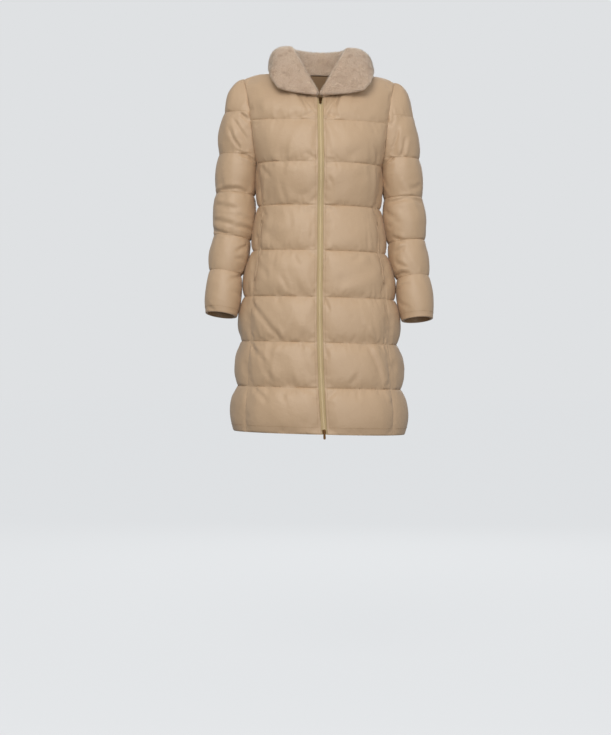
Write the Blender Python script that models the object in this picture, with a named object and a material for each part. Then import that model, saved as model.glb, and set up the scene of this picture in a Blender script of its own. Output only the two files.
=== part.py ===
"""A long puffer coat, hollow and zipped, in the form it keeps on a standing wearer.

Metres. +Z is up and the coat faces -Y. The origin is the middle of the neck at shoulder
height, where the wearer carries the coat. Every panel is a padded wall: its outer skin
swells between the quilting seams and its lining side swells a little less. Panels are
worked out as grids of points that share their seams, and are then given their walls.
"""

import math
from dataclasses import dataclass
from typing import NamedTuple

import bmesh
import bpy
from mathutils import Matrix, Vector

COAT = "long_puffer_coat"
HELPERS = "helpers"

# Half the play at a seam, and the padded wall.
SEAM_TRIM = 0.0002
SEAM_WALL = 0.0025
LINING_PUFF = 0.004
FULL_PUFF = 0.008
PUFF_FULLNESS = 0.7
SEAM_FULLNESS = 0.6
ROWS_PER_CHANNEL = 3

# The coat hangs a little lower on the wearer's left: fall for each metre to the side.
LEAN = 0.0245

# How square each level ring is: 2 is an ellipse.
SQUARENESS = 2.3


class BodySeam(NamedTuple):
    """The body at one quilting seam. Depths are from the middle of the coat."""

    height: float
    half_width: float
    front: float
    back: float
    side_seam_deg: float
    zip_shift: float
    puff: float


# The hem, then each quilting seam upward to the chest. Puff is that of the channel above.
BODY_SEAMS = (
    BodySeam(-0.8810, 0.2095, 0.150, 0.153, 63.0, 0.0115, 0.014),
    BodySeam(-0.7685, 0.2030, 0.143, 0.149, 64.0, 0.0050, 0.011),
    BodySeam(-0.6580, 0.1930, 0.136, 0.146, 65.0, 0.0015, 0.011),
    BodySeam(-0.5470, 0.1860, 0.130, 0.142, 66.0, 0.0005, 0.011),
    BodySeam(-0.4330, 0.1640, 0.122, 0.128, 68.0, 0.0020, 0.009),
    BodySeam(-0.3220, 0.1500, 0.113, 0.108, 71.0, 0.0025, 0.008),
    BodySeam(-0.2170, 0.1570, 0.124, 0.116, 73.5, 0.0040, 0.008),
    BodySeam(-0.1125, 0.1900, 0.108, 0.112, 75.5, 0.0025, 0.008),
)
CHEST = len(BODY_SEAMS) - 1
SHOULDER = CHEST + 1
YOKE_ROWS = 4
HEM_FULLNESS = 0.55
YOKE_FADE = 1.1

# The armhole: half its width front to back, and its depth below the chest seam, counted in
# quilting channels. The side panel meets it at its junction, and narrows from the waist up.
ARMHOLE_HALF_WIDTH = 0.056
ARMHOLE_DROP = 1.08
JUNCTION = CHEST - 2 / ROWS_PER_CHANNEL
NARROWING = 5
NARROWING_ROWS = 4

# The neckline and the shoulder seam.
NECK_HALF_WIDTH = 0.078
NECK_FRONT = 0.080
NECK_BACK = 0.068
NECK_FRONT_HEIGHT = -0.056
NECK_SIDE_HEIGHT = 0.014
NECK_BACK_HEIGHT = 0.020
SHOULDER_HALF_WIDTH = 0.188
SHOULDER_HEIGHT = -0.004
SHOULDER_ROUNDING = 3.0
NECK_SHARE = 0.5

# Column counts of the panels.
FRONT_COLUMNS = 8
SIDE_COLUMNS = 4


class SleeveRing(NamedTuple):
    """A sleeve at one quilting seam: the ring's centre and its half width and half depth."""

    height: float
    side: float
    forward: float
    half_width: float
    half_depth: float


# The first whole ring below the armpit, the two seams of the forearm, and the cuff.
SLEEVE_RINGS = (
    SleeveRing(-0.2910, 0.2100, -0.008, 0.0475, 0.056),
    SleeveRing(-0.4010, 0.2180, -0.004, 0.0450, 0.053),
    SleeveRing(-0.4900, 0.2335, 0.010, 0.0390, 0.048),
    SleeveRing(-0.5940, 0.2440, 0.026, 0.0380, 0.043),
)
CUFF = len(SLEEVE_RINGS)
SLEEVE_PUFF = 0.007
SLEEVE_INNER_PUFF = 0.003
CAP_SEAMS = (-0.006, -0.0890, -0.1925, -0.2910)
CAP_ROWS = 8
CAP_OUT = 0.045
CAP_OUT_AT_TOP = 0.135
CAP_FALL_AT_TOP = 0.07
CUFF_FULLNESS = 0.5

# The zip, hem to collar, in the gap between the fronts.
ZIP_HALF_OPENING = 0.0075
ZIP_TAPE_INNER = 0.0028
ZIP_CHAIN_HALF_WIDTH = 0.0025
ZIP_TAPE_WALL = 0.0016
ZIP_CHAIN_PROUD = 0.0016
ZIP_EDGE_FULLNESS = 0.4
EDGE_REACH = 0.12
TAPE_ENDS = (0.0, CHEST + 0.96)
CHAIN_ENDS = (0.045, CHEST + 0.93)

# A slider, in its own frame: the chain's end is its middle, Z runs along the zip away from
# the chain and Y points into the coat. Its plates lie before and behind the chain.
SLIDER_REACH = 0.18
SLIDER_PLATE = (0.0085, 0.0015, 0.0110)
SLIDER_PLATE_OFF = 0.00265
SLIDER_PLATE_RISE = -0.0020
SLIDER_PLATE_CORNER = 0.0022
SLIDER_POST = (0.0030, 0.0060, 0.0028)
SLIDER_POST_RISE = 0.0018
BRIDGE_FOOT = (0.0020, 0.0036, 0.0010)
BRIDGE_FOOT_OFF = -0.0048
BRIDGE_BAR = (0.0020, 0.0008, 0.0074)
BRIDGE_BAR_OFF = -0.0062
BRIDGE_RISE = -0.0015
BRIDGE_HALF_SPAN = 0.0032

# A pull tab hangs on its bridge. It is measured downward from the hinge.
TAB_OFF = -0.0046
TAB_HALF_WALL = 0.0006
TAB_HALF_WIDTH = 0.0026
TAB_END_RADIUS = 0.0031
TAB_EYE_HALF_WIDTH = 0.0014
TAB_EYE_END = 0.0046
TAB_ARC_STEPS = 8
TOP_TAB_LENGTH = 0.0160
BOTTOM_TAB_LENGTH = 0.0185

# The turned-down collar. Angles run from the front round to the back.
COLLAR_PLAY = 0.0015
COLLAR_ROWS = (0.0, 0.35, 0.7, 1.0, 1.12, 1.3, 1.52, 1.76, 2.0)
ROLL_HALF_WIDTH = 0.074
ROLL_FRONT = 0.088
ROLL_BACK = 0.078
ROLL_LOW = -0.051
ROLL_HIGH = 0.074
ROLL_START_DEG = 5.0
ROLL_FULL_HEIGHT_DEG = 95.0
UNDER_COLLAR_WALL = 0.002
FUR_DEPTH = 0.010
FUR_EDGE_SHARE = 0.55


class CollarEdge(NamedTuple):
    """The collar's free edge, every 30 degrees from the front round to the back."""

    side: float
    forward: float
    height: float


COLLAR_EDGE = (
    CollarEdge(0.098, 0.116, -0.044),
    CollarEdge(0.116, 0.098, -0.016),
    CollarEdge(0.118, 0.058, 0.008),
    CollarEdge(0.116, 0.008, 0.016),
    CollarEdge(0.101, -0.056, 0.004),
    CollarEdge(0.060, -0.101, -0.012),
    CollarEdge(0.000, -0.118, -0.020),
)
COLLAR_EDGE_STEP_DEG = 30.0
# How boldly the collar swells over its roll, and how much wider the left wing spreads.
COLLAR_ROUNDING = 1.9
LEFT_WING_STRETCH = 1.085

# A pocket lip covers the edge of a front over these rows, and part of its last column.
POCKET_ROWS = (10, 14)
POCKET_LIP_SHARE = 0.30
POCKET_LIP_OFF = 0.0012
POCKET_LIP_WALL = 0.0015


class Finish(NamedTuple):
    """A material: linear colour, roughness and metallic value."""

    name: str
    colour: tuple
    roughness: float
    metallic: float


NYLON = Finish("camel_nylon_taffeta", (0.56, 0.41, 0.27), 0.48, 0.0)
FUR = Finish("taupe_short_pile_fur", (0.52, 0.40, 0.31), 0.95, 0.0)
ZIP_TAPE = Finish("olive_beige_zip_tape", (0.47, 0.36, 0.20), 0.85, 0.0)
ZIP_CHAIN = Finish("matt_gold_zip_chain", (0.50, 0.39, 0.20), 0.45, 0.6)
BRONZE = Finish("dark_bronze_zip_slider", (0.12, 0.075, 0.035), 0.35, 1.0)


# ---- curves and tables -------------------------------------------------------------------


def between(rows, column, place):
    """The value of a table's column at a place between its rows, on a smooth curve."""
    last = len(rows) - 1
    first = min(max(int(place), 0), last - 1)
    share = place - first
    start = getattr(rows[first], column)
    end = getattr(rows[first + 1], column)
    before = getattr(rows[first - 1], column) if first > 0 else 2 * start - end
    after = getattr(rows[first + 2], column) if first + 2 <= last else 2 * end - start
    return bend(start, (end - before) / 2, end, (after - start) / 2, share)


def bend(start, leaving, end, arriving, share):
    """A cubic from start to end that leaves and arrives at the given rates."""
    square, cube = share**2, share**3
    return (
        start * (2 * cube - 3 * square + 1)
        + leaving * (cube - 2 * square + share)
        + end * (3 * square - 2 * cube)
        + arriving * (cube - square)
    )


def ease(share):
    """A smooth step from 0 to 1."""
    share = min(max(share, 0.0), 1.0)
    return share * share * (3 - 2 * share)


def swell(share):
    """How full a quilted channel is at a share of its height."""
    return max(0.0, math.sin(math.pi * share)) ** PUFF_FULLNESS


def steps(start, end, count):
    """Evenly spaced values from start to end."""
    return [start + (end - start) * at / count for at in range(count + 1)]


# ---- grids and walls ---------------------------------------------------------------------


@dataclass
class Grid:
    """A piece of cloth as rows of points, with its normals and its reach to either side."""

    name: str
    points: list
    normals: list
    outside: list
    inside: list
    finish: Finish
    closed: bool = False

    def rim(self):
        """The (row, column) of every point on the grid's edge."""
        rows, columns = len(self.points), len(self.points[0])
        if self.closed:
            return [(row, column) for row in (0, rows - 1) for column in range(columns)]
        return [
            (row, column)
            for row in range(rows)
            for column in range(columns)
            if row in (0, rows - 1) or column in (0, columns - 1)
        ]


def grid_of(name, surface, acrosses, alongs, reach, finish, closed=False):
    """A grid on a surface. Its normal is right-handed from across to along."""
    points = [[surface(across, along) for across in acrosses] for along in alongs]
    normals = [[facing_out(surface, across, along) for across in acrosses] for along in alongs]
    outside = [[reach(across, along) for across in acrosses] for along in alongs]
    inside = [[lining_reach(out) for out in row] for row in outside]
    return Grid(name, points, normals, outside, inside, finish, closed)


def facing_out(surface, across, along):
    """The unit normal of a surface."""
    step = 1e-4
    one = surface(across + step, along) - surface(across - step, along)
    two = surface(across, along + step) - surface(across, along - step)
    return one.cross(two).normalized()


def lining_reach(puff):
    """How far the lining side stands in, for a given puff of the outer skin."""
    return SEAM_WALL + LINING_PUFF * min(1.0, puff / FULL_PUFF)


def mirrored(grid, name):
    """The grid's twin on the other side of the coat, with its columns turned round."""

    def flipped(rows):
        return [[Vector((-item.x, item.y, item.z)) for item in reversed(row)] for row in rows]

    def turned(rows):
        return [list(reversed(row)) for row in rows]

    return Grid(
        name, flipped(grid.points), flipped(grid.normals), turned(grid.outside),
        turned(grid.inside), grid.finish, grid.closed,
    )


def join_seams(grids):
    """Gives the panels one common normal and reach wherever their edges share a point."""
    met = {}
    for grid in grids:
        for row, column in grid.rim():
            spot = tuple(round(value, 5) for value in grid.points[row][column])
            met.setdefault(spot, []).append((grid, row, column))
    for places in met.values():
        normals = [grid.normals[row][column] for grid, row, column in places]
        common = sum(normals, Vector()).normalized()
        outside = min(grid.outside[row][column] for grid, row, column in places)
        inside = min(grid.inside[row][column] for grid, row, column in places)
        for grid, row, column in places:
            grid.normals[row][column] = common
            grid.outside[row][column] = outside
            grid.inside[row][column] = inside


def trimmed(grid):
    """The grid's points with its edges drawn back a little, so that seams keep their play."""
    rows, columns = len(grid.points), len(grid.points[0])
    points = [[point.copy() for point in row] for row in grid.points]
    for column in range(columns):
        for row, towards in ((0, 1), (rows - 1, rows - 2)):
            way = grid.points[towards][column] - grid.points[row][column]
            points[row][column] += way.normalized() * SEAM_TRIM
    if not grid.closed:
        for row in range(rows):
            for column, towards in ((0, 1), (columns - 1, columns - 2)):
                way = grid.points[row][towards] - grid.points[row][column]
                points[row][column] += way.normalized() * SEAM_TRIM
    return points


def hung(point):
    """The point with the coat's lean."""
    return Vector((point.x, point.y, point.z - LEAN * point.x))


def split_quad(points, low, left, right):
    """The two triangles of a square of the grid, cut along its shorter diagonal."""
    one, two, three, four = (low, left), (low, right), (low + 1, right), (low + 1, left)
    rising = (points[low][left] - points[low + 1][right]).length
    falling = (points[low][right] - points[low + 1][left]).length
    if rising <= falling + 1e-6:
        return (one, two, three), (one, three, four)
    return (one, two, four), (two, three, four)


def wall_of(grid):
    """The grid made a closed wall: two skins joined round their edges."""
    mesh = bmesh.new()
    points = trimmed(grid)
    rows, columns = range(len(points)), range(len(points[0]))
    outer, inner = (
        [
            [
                mesh.verts.new(hung(points[row][col] + grid.normals[row][col] * way * reach[row][col]))
                for col in columns
            ]
            for row in rows
        ]
        for way, reach in ((1, grid.outside), (-1, grid.inside))
    )
    last = len(columns)
    sides = [(col, (col + 1) % last) for col in range(last if grid.closed else last - 1)]
    for low in rows[:-1]:
        for left, right in sides:
            for around in split_quad(grid.points, low, left, right):
                mesh.faces.new([outer[row][col] for row, col in around])
                mesh.faces.new([inner[row][col] for row, col in reversed(around)])
    ends = [((row, left), (row, right)) for row in (0, rows[-1]) for left, right in sides]
    if not grid.closed:
        ends += [((low, col), (low + 1, col)) for col in (0, columns[-1]) for low in rows[:-1]]
    for one, two in ends:
        high, low = sorted((one, two), key=lambda at: -points[at[0]][at[1]].z)
        near, far, deep = outer[high[0]][high[1]], outer[low[0]][low[1]], inner[low[0]][low[1]]
        mesh.faces.new((near, far, deep))
        mesh.faces.new((near, deep, inner[high[0]][high[1]]))
    bmesh.ops.recalc_face_normals(mesh, faces=mesh.faces)
    return add_piece(grid.name, mesh, grid.finish)


def add_piece(name, mesh, finish):
    """A new object of the coat from a bmesh, with its material."""
    data = bpy.data.meshes.new(name)
    mesh.to_mesh(data)
    mesh.free()
    data.shade_smooth()
    data.set_sharp_from_angle(angle=math.radians(50))
    data.materials.append(material(finish))
    piece = bpy.data.objects.new(name, data)
    bpy.data.collections[COAT].objects.link(piece)
    return piece


def material(finish):
    """The Principled material of a finish, made once."""
    made = bpy.data.materials.get(finish.name) or bpy.data.materials.new(finish.name)
    made.use_nodes = True
    shader = made.node_tree.nodes["Principled BSDF"]
    shader.inputs["Base Color"].default_value = (*finish.colour, 1.0)
    shader.inputs["Roughness"].default_value = finish.roughness
    shader.inputs["Metallic"].default_value = finish.metallic
    made.diffuse_color = (*finish.colour, 1.0)
    return made


# ---- the body ----------------------------------------------------------------------------


def ring_point(level, angle):
    """A point of the body's ring at a level, at an angle from the front towards +X."""
    width = between(BODY_SEAMS, "half_width", level)
    ahead, aside = math.cos(angle), math.sin(angle)
    depth = between(BODY_SEAMS, "front" if ahead > 0 else "back", level)
    reach = abs(ahead / depth) ** SQUARENESS + abs(aside / width) ** SQUARENESS
    radius = reach ** (-1 / SQUARENESS)
    height = between(BODY_SEAMS, "height", level)
    return Vector((radius * aside, -radius * ahead, height))


def angle_at_depth(level, forward):
    """The angle at which the body's ring is this far forward of the middle."""
    width = between(BODY_SEAMS, "half_width", level)
    depth = between(BODY_SEAMS, "front" if forward > 0 else "back", level)
    aside = width * (1 - abs(forward / depth) ** SQUARENESS) ** (1 / SQUARENESS)
    return math.atan2(aside, forward)


def armhole_angle(level, facing):
    """The angle of the armhole's lower edge at a level. Facing is 1 in front, -1 behind."""
    turn = math.asin(min(1.0, max(0.0, (CHEST - level) / ARMHOLE_DROP)))
    return angle_at_depth(level, facing * ARMHOLE_HALF_WIDTH * math.cos(turn))


def seam_angle(level, facing):
    """The angle of a front or back panel's outer edge: its side seam, then the armhole."""
    if level >= JUNCTION:
        return armhole_angle(min(level, CHEST), facing)
    angle = math.radians(between(BODY_SEAMS, "side_seam_deg", level))
    angle = angle if facing > 0 else math.pi - angle
    nearing = ease((level - NARROWING) / (JUNCTION - NARROWING))
    return angle + nearing * (armhole_angle(JUNCTION, facing) - angle)


def neckline(angle):
    """A point of the neckline, at an angle from the front."""
    ahead, aside = math.cos(angle), math.sin(angle)
    if ahead > 0:
        depth, rise = NECK_FRONT, NECK_FRONT_HEIGHT - NECK_SIDE_HEIGHT
    else:
        depth, rise = NECK_BACK, NECK_BACK_HEIGHT - NECK_SIDE_HEIGHT
    return Vector((NECK_HALF_WIDTH * aside, -depth * ahead, NECK_SIDE_HEIGHT + rise * ahead**2))


def shoulder_seam(share):
    """A point of the shoulder seam, from the neck to the armhole."""
    side = NECK_HALF_WIDTH + share * (SHOULDER_HALF_WIDTH - NECK_HALF_WIDTH)
    drop = (SHOULDER_HEIGHT - NECK_SIDE_HEIGHT) * max(share, 0.0) ** SHOULDER_ROUNDING
    return Vector((side, 0.0, NECK_SIDE_HEIGHT + drop))


def neck_angle(first_angle, facing, share):
    """The angle on the neckline at a share of the way from a panel's first column."""
    centre = 0.0 if facing > 0 else math.pi
    start = centre + (first_angle - centre) * BODY_SEAMS[CHEST].front / NECK_FRONT
    return start + (math.pi / 2 - start) * share


def yoke_point(facing, across, level, first_angle):
    """A point of a panel above the chest seam, where it closes to neckline and shoulder."""
    low = ring_point(CHEST, first_angle + across * (armhole_angle(CHEST, facing) - first_angle))
    if across <= NECK_SHARE:
        high = neckline(neck_angle(first_angle, facing, across / NECK_SHARE))
    else:
        high = shoulder_seam((across - NECK_SHARE) / (1 - NECK_SHARE))
    chord = (high - low).length
    over = ease(across / NECK_SHARE)
    centre = 0.0 if facing > 0 else math.pi
    rise = ring_point(CHEST, centre) - ring_point(CHEST - 0.1, centre)
    leaving = chord * Vector((0.0, rise.y * (1 - across), rise.z)).normalized()
    arriving = chord * Vector((0.0, facing * (0.42 + 0.48 * over), 0.9 * (1 - over)))
    return bend(low, leaving, high, arriving, level - CHEST)


def zip_angle(level, offset):
    """The angle of a point beside the zip's line, which drifts to the wearer's left."""
    level = min(level, CHEST)
    shift = between(BODY_SEAMS, "zip_shift", level)
    return (shift + offset) / between(BODY_SEAMS, "front", level)


def front_point(across, level, side):
    """A point of a front, from the zip's edge to the side seam. Side 1 is towards +X."""
    first = side * zip_angle(level, side * ZIP_HALF_OPENING)
    if level > CHEST:
        point = yoke_point(1, across, level, first)
    else:
        point = ring_point(level, first + across * (seam_angle(level, 1) - first))
    return Vector((side * point.x, point.y, point.z))


def back_point(across, level):
    """A point of the back panel, from -1 at one side to 1 at the other."""
    share = abs(across)
    if level > CHEST:
        point = yoke_point(-1, share, level, math.pi)
    else:
        point = ring_point(level, math.pi + share * (seam_angle(level, -1) - math.pi))
    return Vector((-point.x if across > 0 else point.x, point.y, point.z))


def side_top(across):
    """The level of the armhole above a place on the side panel."""
    start = math.asin((CHEST - JUNCTION) / ARMHOLE_DROP)
    turn = start + (math.pi / 2 - start) * (1 - abs(1 - 2 * across))
    return CHEST - ARMHOLE_DROP * math.sin(turn), turn


def side_level(across, share):
    """The level of a side panel's row: even up to the waist, then stretched to the armhole."""
    top, _ = side_top(across)
    return share if share <= NARROWING else NARROWING + (share - NARROWING) * (top - NARROWING)


def side_point(across, share):
    """A point of the side panel: across from front to back, up from hem to armhole."""
    level = side_level(across, share)
    side_seam = math.radians(between(BODY_SEAMS, "side_seam_deg", level))
    angle = side_seam + across * (math.pi - 2 * side_seam)
    if level > NARROWING:
        top, turn = side_top(across)
        facing = 1 if across < 0.5 else -1
        high = angle_at_depth(top, facing * ARMHOLE_HALF_WIDTH * math.cos(turn))
        angle += ease((level - NARROWING) / (top - NARROWING)) * (high - angle)
    return ring_point(level, angle)


def body_puff(level):
    """How far the body's outer skin stands out at a level."""
    channel = min(int(level + 1e-6), CHEST)
    share = level - channel
    puff = BODY_SEAMS[channel].puff
    if channel == 0:
        return puff * max(swell(share), HEM_FULLNESS * ease(1 - 2 * share))
    if channel == CHEST:
        return puff * swell(share * 0.8) * ease((SHOULDER - level) * YOKE_FADE)
    return puff * swell(share)


def near_seam(distance, fullness=SEAM_FULLNESS, reach=EDGE_REACH):
    """How much of the puff is left near a panel's edge."""
    return fullness + (1 - fullness) * ease(distance / reach)


def body_rows():
    """The levels of the fronts' and the back's rows."""
    return steps(0, CHEST, CHEST * ROWS_PER_CHANNEL) + steps(CHEST, SHOULDER, YOKE_ROWS)[1:]


def body_grids():
    """The fronts, the back and the sides."""

    def front_reach(across, level):
        near_zip = near_seam(across, ZIP_EDGE_FULLNESS)
        return body_puff(level) * near_zip * near_seam(1 - across)

    def back_reach(across, level):
        return body_puff(level) * near_seam(1 - abs(across))

    def side_reach(across, share):
        to_edge = min(across, 1 - across, NARROWING + 1 - share)
        return body_puff(side_level(across, share)) * near_seam(to_edge, reach=0.5)

    across = steps(0, 1, FRONT_COLUMNS)
    front_left = grid_of(
        "front_left", lambda at, level: front_point(at, level, 1), across, body_rows(),
        front_reach, NYLON,
    )
    front_right = grid_of(
        "front_right", lambda at, level: front_point(-at, level, -1),
        [-at for at in reversed(across)], body_rows(),
        lambda at, level: front_reach(-at, level), NYLON,
    )
    back = grid_of("back", back_point, steps(-1, 1, 2 * FRONT_COLUMNS), body_rows(), back_reach, NYLON)
    side_rows = steps(0, NARROWING, NARROWING * ROWS_PER_CHANNEL)
    side_rows += steps(NARROWING, NARROWING + 1, NARROWING_ROWS)[1:]
    side = grid_of("side_left", side_point, steps(0, 1, SIDE_COLUMNS), side_rows, side_reach, NYLON)
    return [front_left, front_right, back, side, mirrored(side, "side_right")]


# ---- the sleeves -------------------------------------------------------------------------


def armhole_level(turn):
    """The body's level at a turn round the armhole, and which way that place faces."""
    facing = 1 if turn <= 2 else -1
    folded = turn if turn <= 2 else 4 - turn
    if folded <= 1:
        return SHOULDER - folded, facing
    return CHEST - ARMHOLE_DROP * math.sin((folded - 1) * math.pi / 2), facing


def armhole_point(turn):
    """A point of the armhole: 0 at the shoulder, 1 at the chest, 2 at the armpit, 3 behind."""
    level, facing = armhole_level(turn)
    if level > CHEST:
        return yoke_point(facing, 1.0, level, 0.0 if facing > 0 else math.pi)
    return ring_point(level, armhole_angle(level, facing))


def armhole_turns():
    """The turns at which the panels' rows and columns meet the armhole."""
    front = steps(0, 1, YOKE_ROWS)
    for below in range(1, round((CHEST - JUNCTION) * ROWS_PER_CHANNEL) + 1):
        front.append(1 + math.asin(below / ROWS_PER_CHANNEL / ARMHOLE_DROP) * 2 / math.pi)
    front += [1 + side_top(across)[1] * 2 / math.pi for across in steps(0, 0.5, SIDE_COLUMNS // 2)[1:]]
    return front + [4 - turn for turn in reversed(front[1:-1])]


def sleeve_ring_point(turn, place):
    """A point of the sleeve below the armpit, on a ring square to the sleeve's own line."""
    centre, further = (
        Vector(
            (
                between(SLEEVE_RINGS, "side", at),
                -between(SLEEVE_RINGS, "forward", at),
                between(SLEEVE_RINGS, "height", at),
            )
        )
        for at in (place, place + 0.05)
    )
    line = (further - centre).normalized()
    outward = (Vector((1, 0, 0)) - line * line.x).normalized()
    forward = line.cross(outward)
    angle = turn * math.pi / 2
    width = between(SLEEVE_RINGS, "half_width", place)
    depth = between(SLEEVE_RINGS, "half_depth", place)
    return centre + outward * width * math.cos(angle) + forward * depth * math.sin(angle)


def sleeve_point(turn, row):
    """A point of the sleeve. Row 0 is the armhole, 1 the first whole ring, 4 the cuff."""
    turn = turn % 4
    if row >= 1:
        return sleeve_ring_point(turn, row - 1)
    start, end = armhole_point(turn), sleeve_ring_point(turn, 0)
    chord = (end - start).length
    up = (1 + math.cos(turn * math.pi / 2)) / 2
    leaving = Vector((CAP_OUT + CAP_OUT_AT_TOP * up, 0, -CAP_FALL_AT_TOP * up))
    arriving = Vector((0.03 * up, 0, -0.9 * chord))
    return bend(start, leaving, end, arriving, row)


def sleeve_reach(turn, row):
    """How far the sleeve's outer skin stands out."""
    turn = turn % 4
    inner_side = (1 - math.cos(turn * math.pi / 2)) / 2
    puff = SLEEVE_PUFF + (SLEEVE_INNER_PUFF - SLEEVE_PUFF) * ease(inner_side * 1.3 - 0.3)
    if row >= 1:
        channel = min(int(row + 1e-6), CUFF - 1)
        share = row - channel
        if channel == CUFF - 1:
            return puff * max(swell(share), CUFF_FULLNESS * ease(2 * share - 1))
        return puff * swell(share)
    height = sleeve_point(turn, row).z
    shares = [
        (top - height) / (top - bottom)
        for top, bottom in zip(CAP_SEAMS, CAP_SEAMS[1:])
        if bottom <= height <= top
    ]
    at_armhole = SEAM_FULLNESS * body_puff(armhole_level(turn)[0])
    own = puff * (swell(shares[0]) if shares else 0.0)
    return at_armhole + ease(row * 3) * (own - at_armhole)


def sleeve_grids():
    """The two sleeves, each one tube from armhole to cuff."""
    rows = steps(0, 1, CAP_ROWS) + steps(1, CUFF, (CUFF - 1) * ROWS_PER_CHANNEL)[1:]
    left = grid_of("sleeve_left", sleeve_point, armhole_turns(), rows, sleeve_reach, NYLON, closed=True)
    return [left, mirrored(left, "sleeve_right")]


# ---- the zip -----------------------------------------------------------------------------


def zip_point(offset, level):
    """The coat's front at a distance to the side of the zip's line."""
    angle = zip_angle(level, offset)
    if level > CHEST:
        return yoke_point(1, 0.0, level, angle)
    return ring_point(level, angle)


def zip_grid(name, offsets, ends, proud, finish):
    """A strip of the zip between two offsets, hem to collar."""
    rows = [ends[0], *body_rows()[1:-1], ends[1]]
    strip = grid_of(name, zip_point, offsets, rows, lambda offset, level: proud, finish)
    strip.inside = [[ZIP_TAPE_WALL for _ in row] for row in strip.inside]
    return strip


def zip_grids():
    """The zip's two tapes and its closed chain."""
    tape = (ZIP_TAPE_INNER, ZIP_HALF_OPENING)
    chain = (-ZIP_CHAIN_HALF_WIDTH, ZIP_CHAIN_HALF_WIDTH)
    return [
        zip_grid("zip_tape_left", tape, TAPE_ENDS, 0.0, ZIP_TAPE),
        zip_grid("zip_tape_right", (-tape[1], -tape[0]), TAPE_ENDS, 0.0, ZIP_TAPE),
        zip_grid("zip_chain", chain, CHAIN_ENDS, ZIP_CHAIN_PROUD, ZIP_CHAIN),
    ]


def zip_frame(level, upward):
    """The place and turn of a slider at a level of the zip. Upward is 1, or -1 for one upside down."""
    here = zip_point(0.0, level)
    along = (here - zip_point(0.0, level - upward * SLIDER_REACH)).normalized()
    side = (zip_point(0.001, level) - here).normalized() * upward
    across = (side - along * side.dot(along)).normalized()
    inward = along.cross(across)
    turn = Matrix((across, inward, along)).transposed().to_4x4()
    return Matrix.Translation(hung(here)) @ turn


def plate(name, size, centre, parent, corner=0.0):
    """A box under a parent, with its upright corners seen from the front bevelled."""
    mesh = bmesh.new()
    bmesh.ops.create_cube(mesh, size=1.0)
    bmesh.ops.scale(mesh, vec=size, verts=mesh.verts)
    if corner:
        upright = [edge for edge in mesh.edges if abs(edge.verts[0].co.y - edge.verts[1].co.y) > 1e-6]
        bmesh.ops.bevel(mesh, geom=upright, offset=corner, segments=3, profile=0.5, affect="EDGES")
    box = add_piece(name, mesh, BRONZE)
    box.parent = parent
    box.location = centre
    return box


def add_empty(name, matrix):
    """An empty at a place, for pieces to hang under."""
    empty = bpy.data.objects.new(name, None)
    empty.matrix_world = matrix
    bpy.data.collections[COAT].objects.link(empty)
    return empty


def make_slider(name, level, upward):
    """A slider body: plates before and behind the chain, a post past its end, and a bridge."""
    mount = add_empty(f"{name}_mount", zip_frame(level, upward))
    body = plate(name, SLIDER_PLATE, (0, -SLIDER_PLATE_OFF, SLIDER_PLATE_RISE), mount, SLIDER_PLATE_CORNER)
    others = [
        plate(f"{name}_back", SLIDER_PLATE, (0, SLIDER_PLATE_OFF, SLIDER_PLATE_RISE), mount, SLIDER_PLATE_CORNER),
        plate(f"{name}_post", SLIDER_POST, (0, 0, SLIDER_POST_RISE), mount),
        plate(f"{name}_bar", BRIDGE_BAR, (0, BRIDGE_BAR_OFF, BRIDGE_RISE), mount),
    ]
    for end, way in (("high", 1), ("low", -1)):
        rise = BRIDGE_RISE + way * BRIDGE_HALF_SPAN
        others.append(plate(f"{name}_foot_{end}", BRIDGE_FOOT, (0, BRIDGE_FOOT_OFF, rise), mount))
    for other in others:
        join = body.modifiers.new(f"join_{other.name}", "BOOLEAN")
        join.operation = "UNION"
        join.object = other
        hide_helper(other)
    return mount


def hide_helper(helper):
    """Moves a helper out of the coat, so that only its effect shows."""
    bpy.data.collections[COAT].objects.unlink(helper)
    bpy.data.collections[HELPERS].objects.link(helper)
    helper.hide_render = True
    helper.display_type = "WIRE"


def make_tab(name, mount, upward, length):
    """A pull tab: a flat plate with a round end and an eye, hung on a slider's bridge."""
    turn = Matrix.Identity(4) if upward > 0 else Matrix.Rotation(math.pi, 4, "Y")
    place = mount.matrix_world @ Matrix.Translation((0, TAB_OFF, BRIDGE_RISE)) @ turn
    hinge = add_empty(f"{name}_hinge", place)
    outline = bpy.data.curves.new(name, "CURVE")
    outline.dimensions = "2D"
    outline.fill_mode = "BOTH"
    outline.extrude = TAB_HALF_WALL
    middle = TAB_END_RADIUS - length
    around = [(TAB_HALF_WIDTH, TAB_HALF_WALL), (-TAB_HALF_WIDTH, TAB_HALF_WALL)]
    for angle in steps(math.pi, 2 * math.pi, TAB_ARC_STEPS):
        around.append((TAB_END_RADIUS * math.cos(angle), middle + TAB_END_RADIUS * math.sin(angle)))
    eye = [
        (side * TAB_EYE_HALF_WIDTH, height)
        for height, sides in ((-TAB_HALF_WALL, (-1, 1)), (-TAB_EYE_END, (1, -1)))
        for side in sides
    ]
    for loop in (around, eye):
        spline = outline.splines.new("POLY")
        spline.points.add(len(loop) - 1)
        for point, (across, height) in zip(spline.points, loop):
            point.co = (across, height, 0.0, 1.0)
        spline.use_cyclic_u = True
    outline.materials.append(material(BRONZE))
    tab = bpy.data.objects.new(name, outline)
    bpy.data.collections[COAT].objects.link(tab)
    tab.parent = hinge
    tab.rotation_euler = (math.pi / 2, 0, 0)


# ---- the collar --------------------------------------------------------------------------


def collar_edge_point(angle):
    """A point of the collar's free edge, at an angle from the front."""
    place = math.degrees(angle) / COLLAR_EDGE_STEP_DEG
    side, forward, height = (between(COLLAR_EDGE, column, place) for column in CollarEdge._fields)
    return Vector((side, -forward, height))


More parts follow.
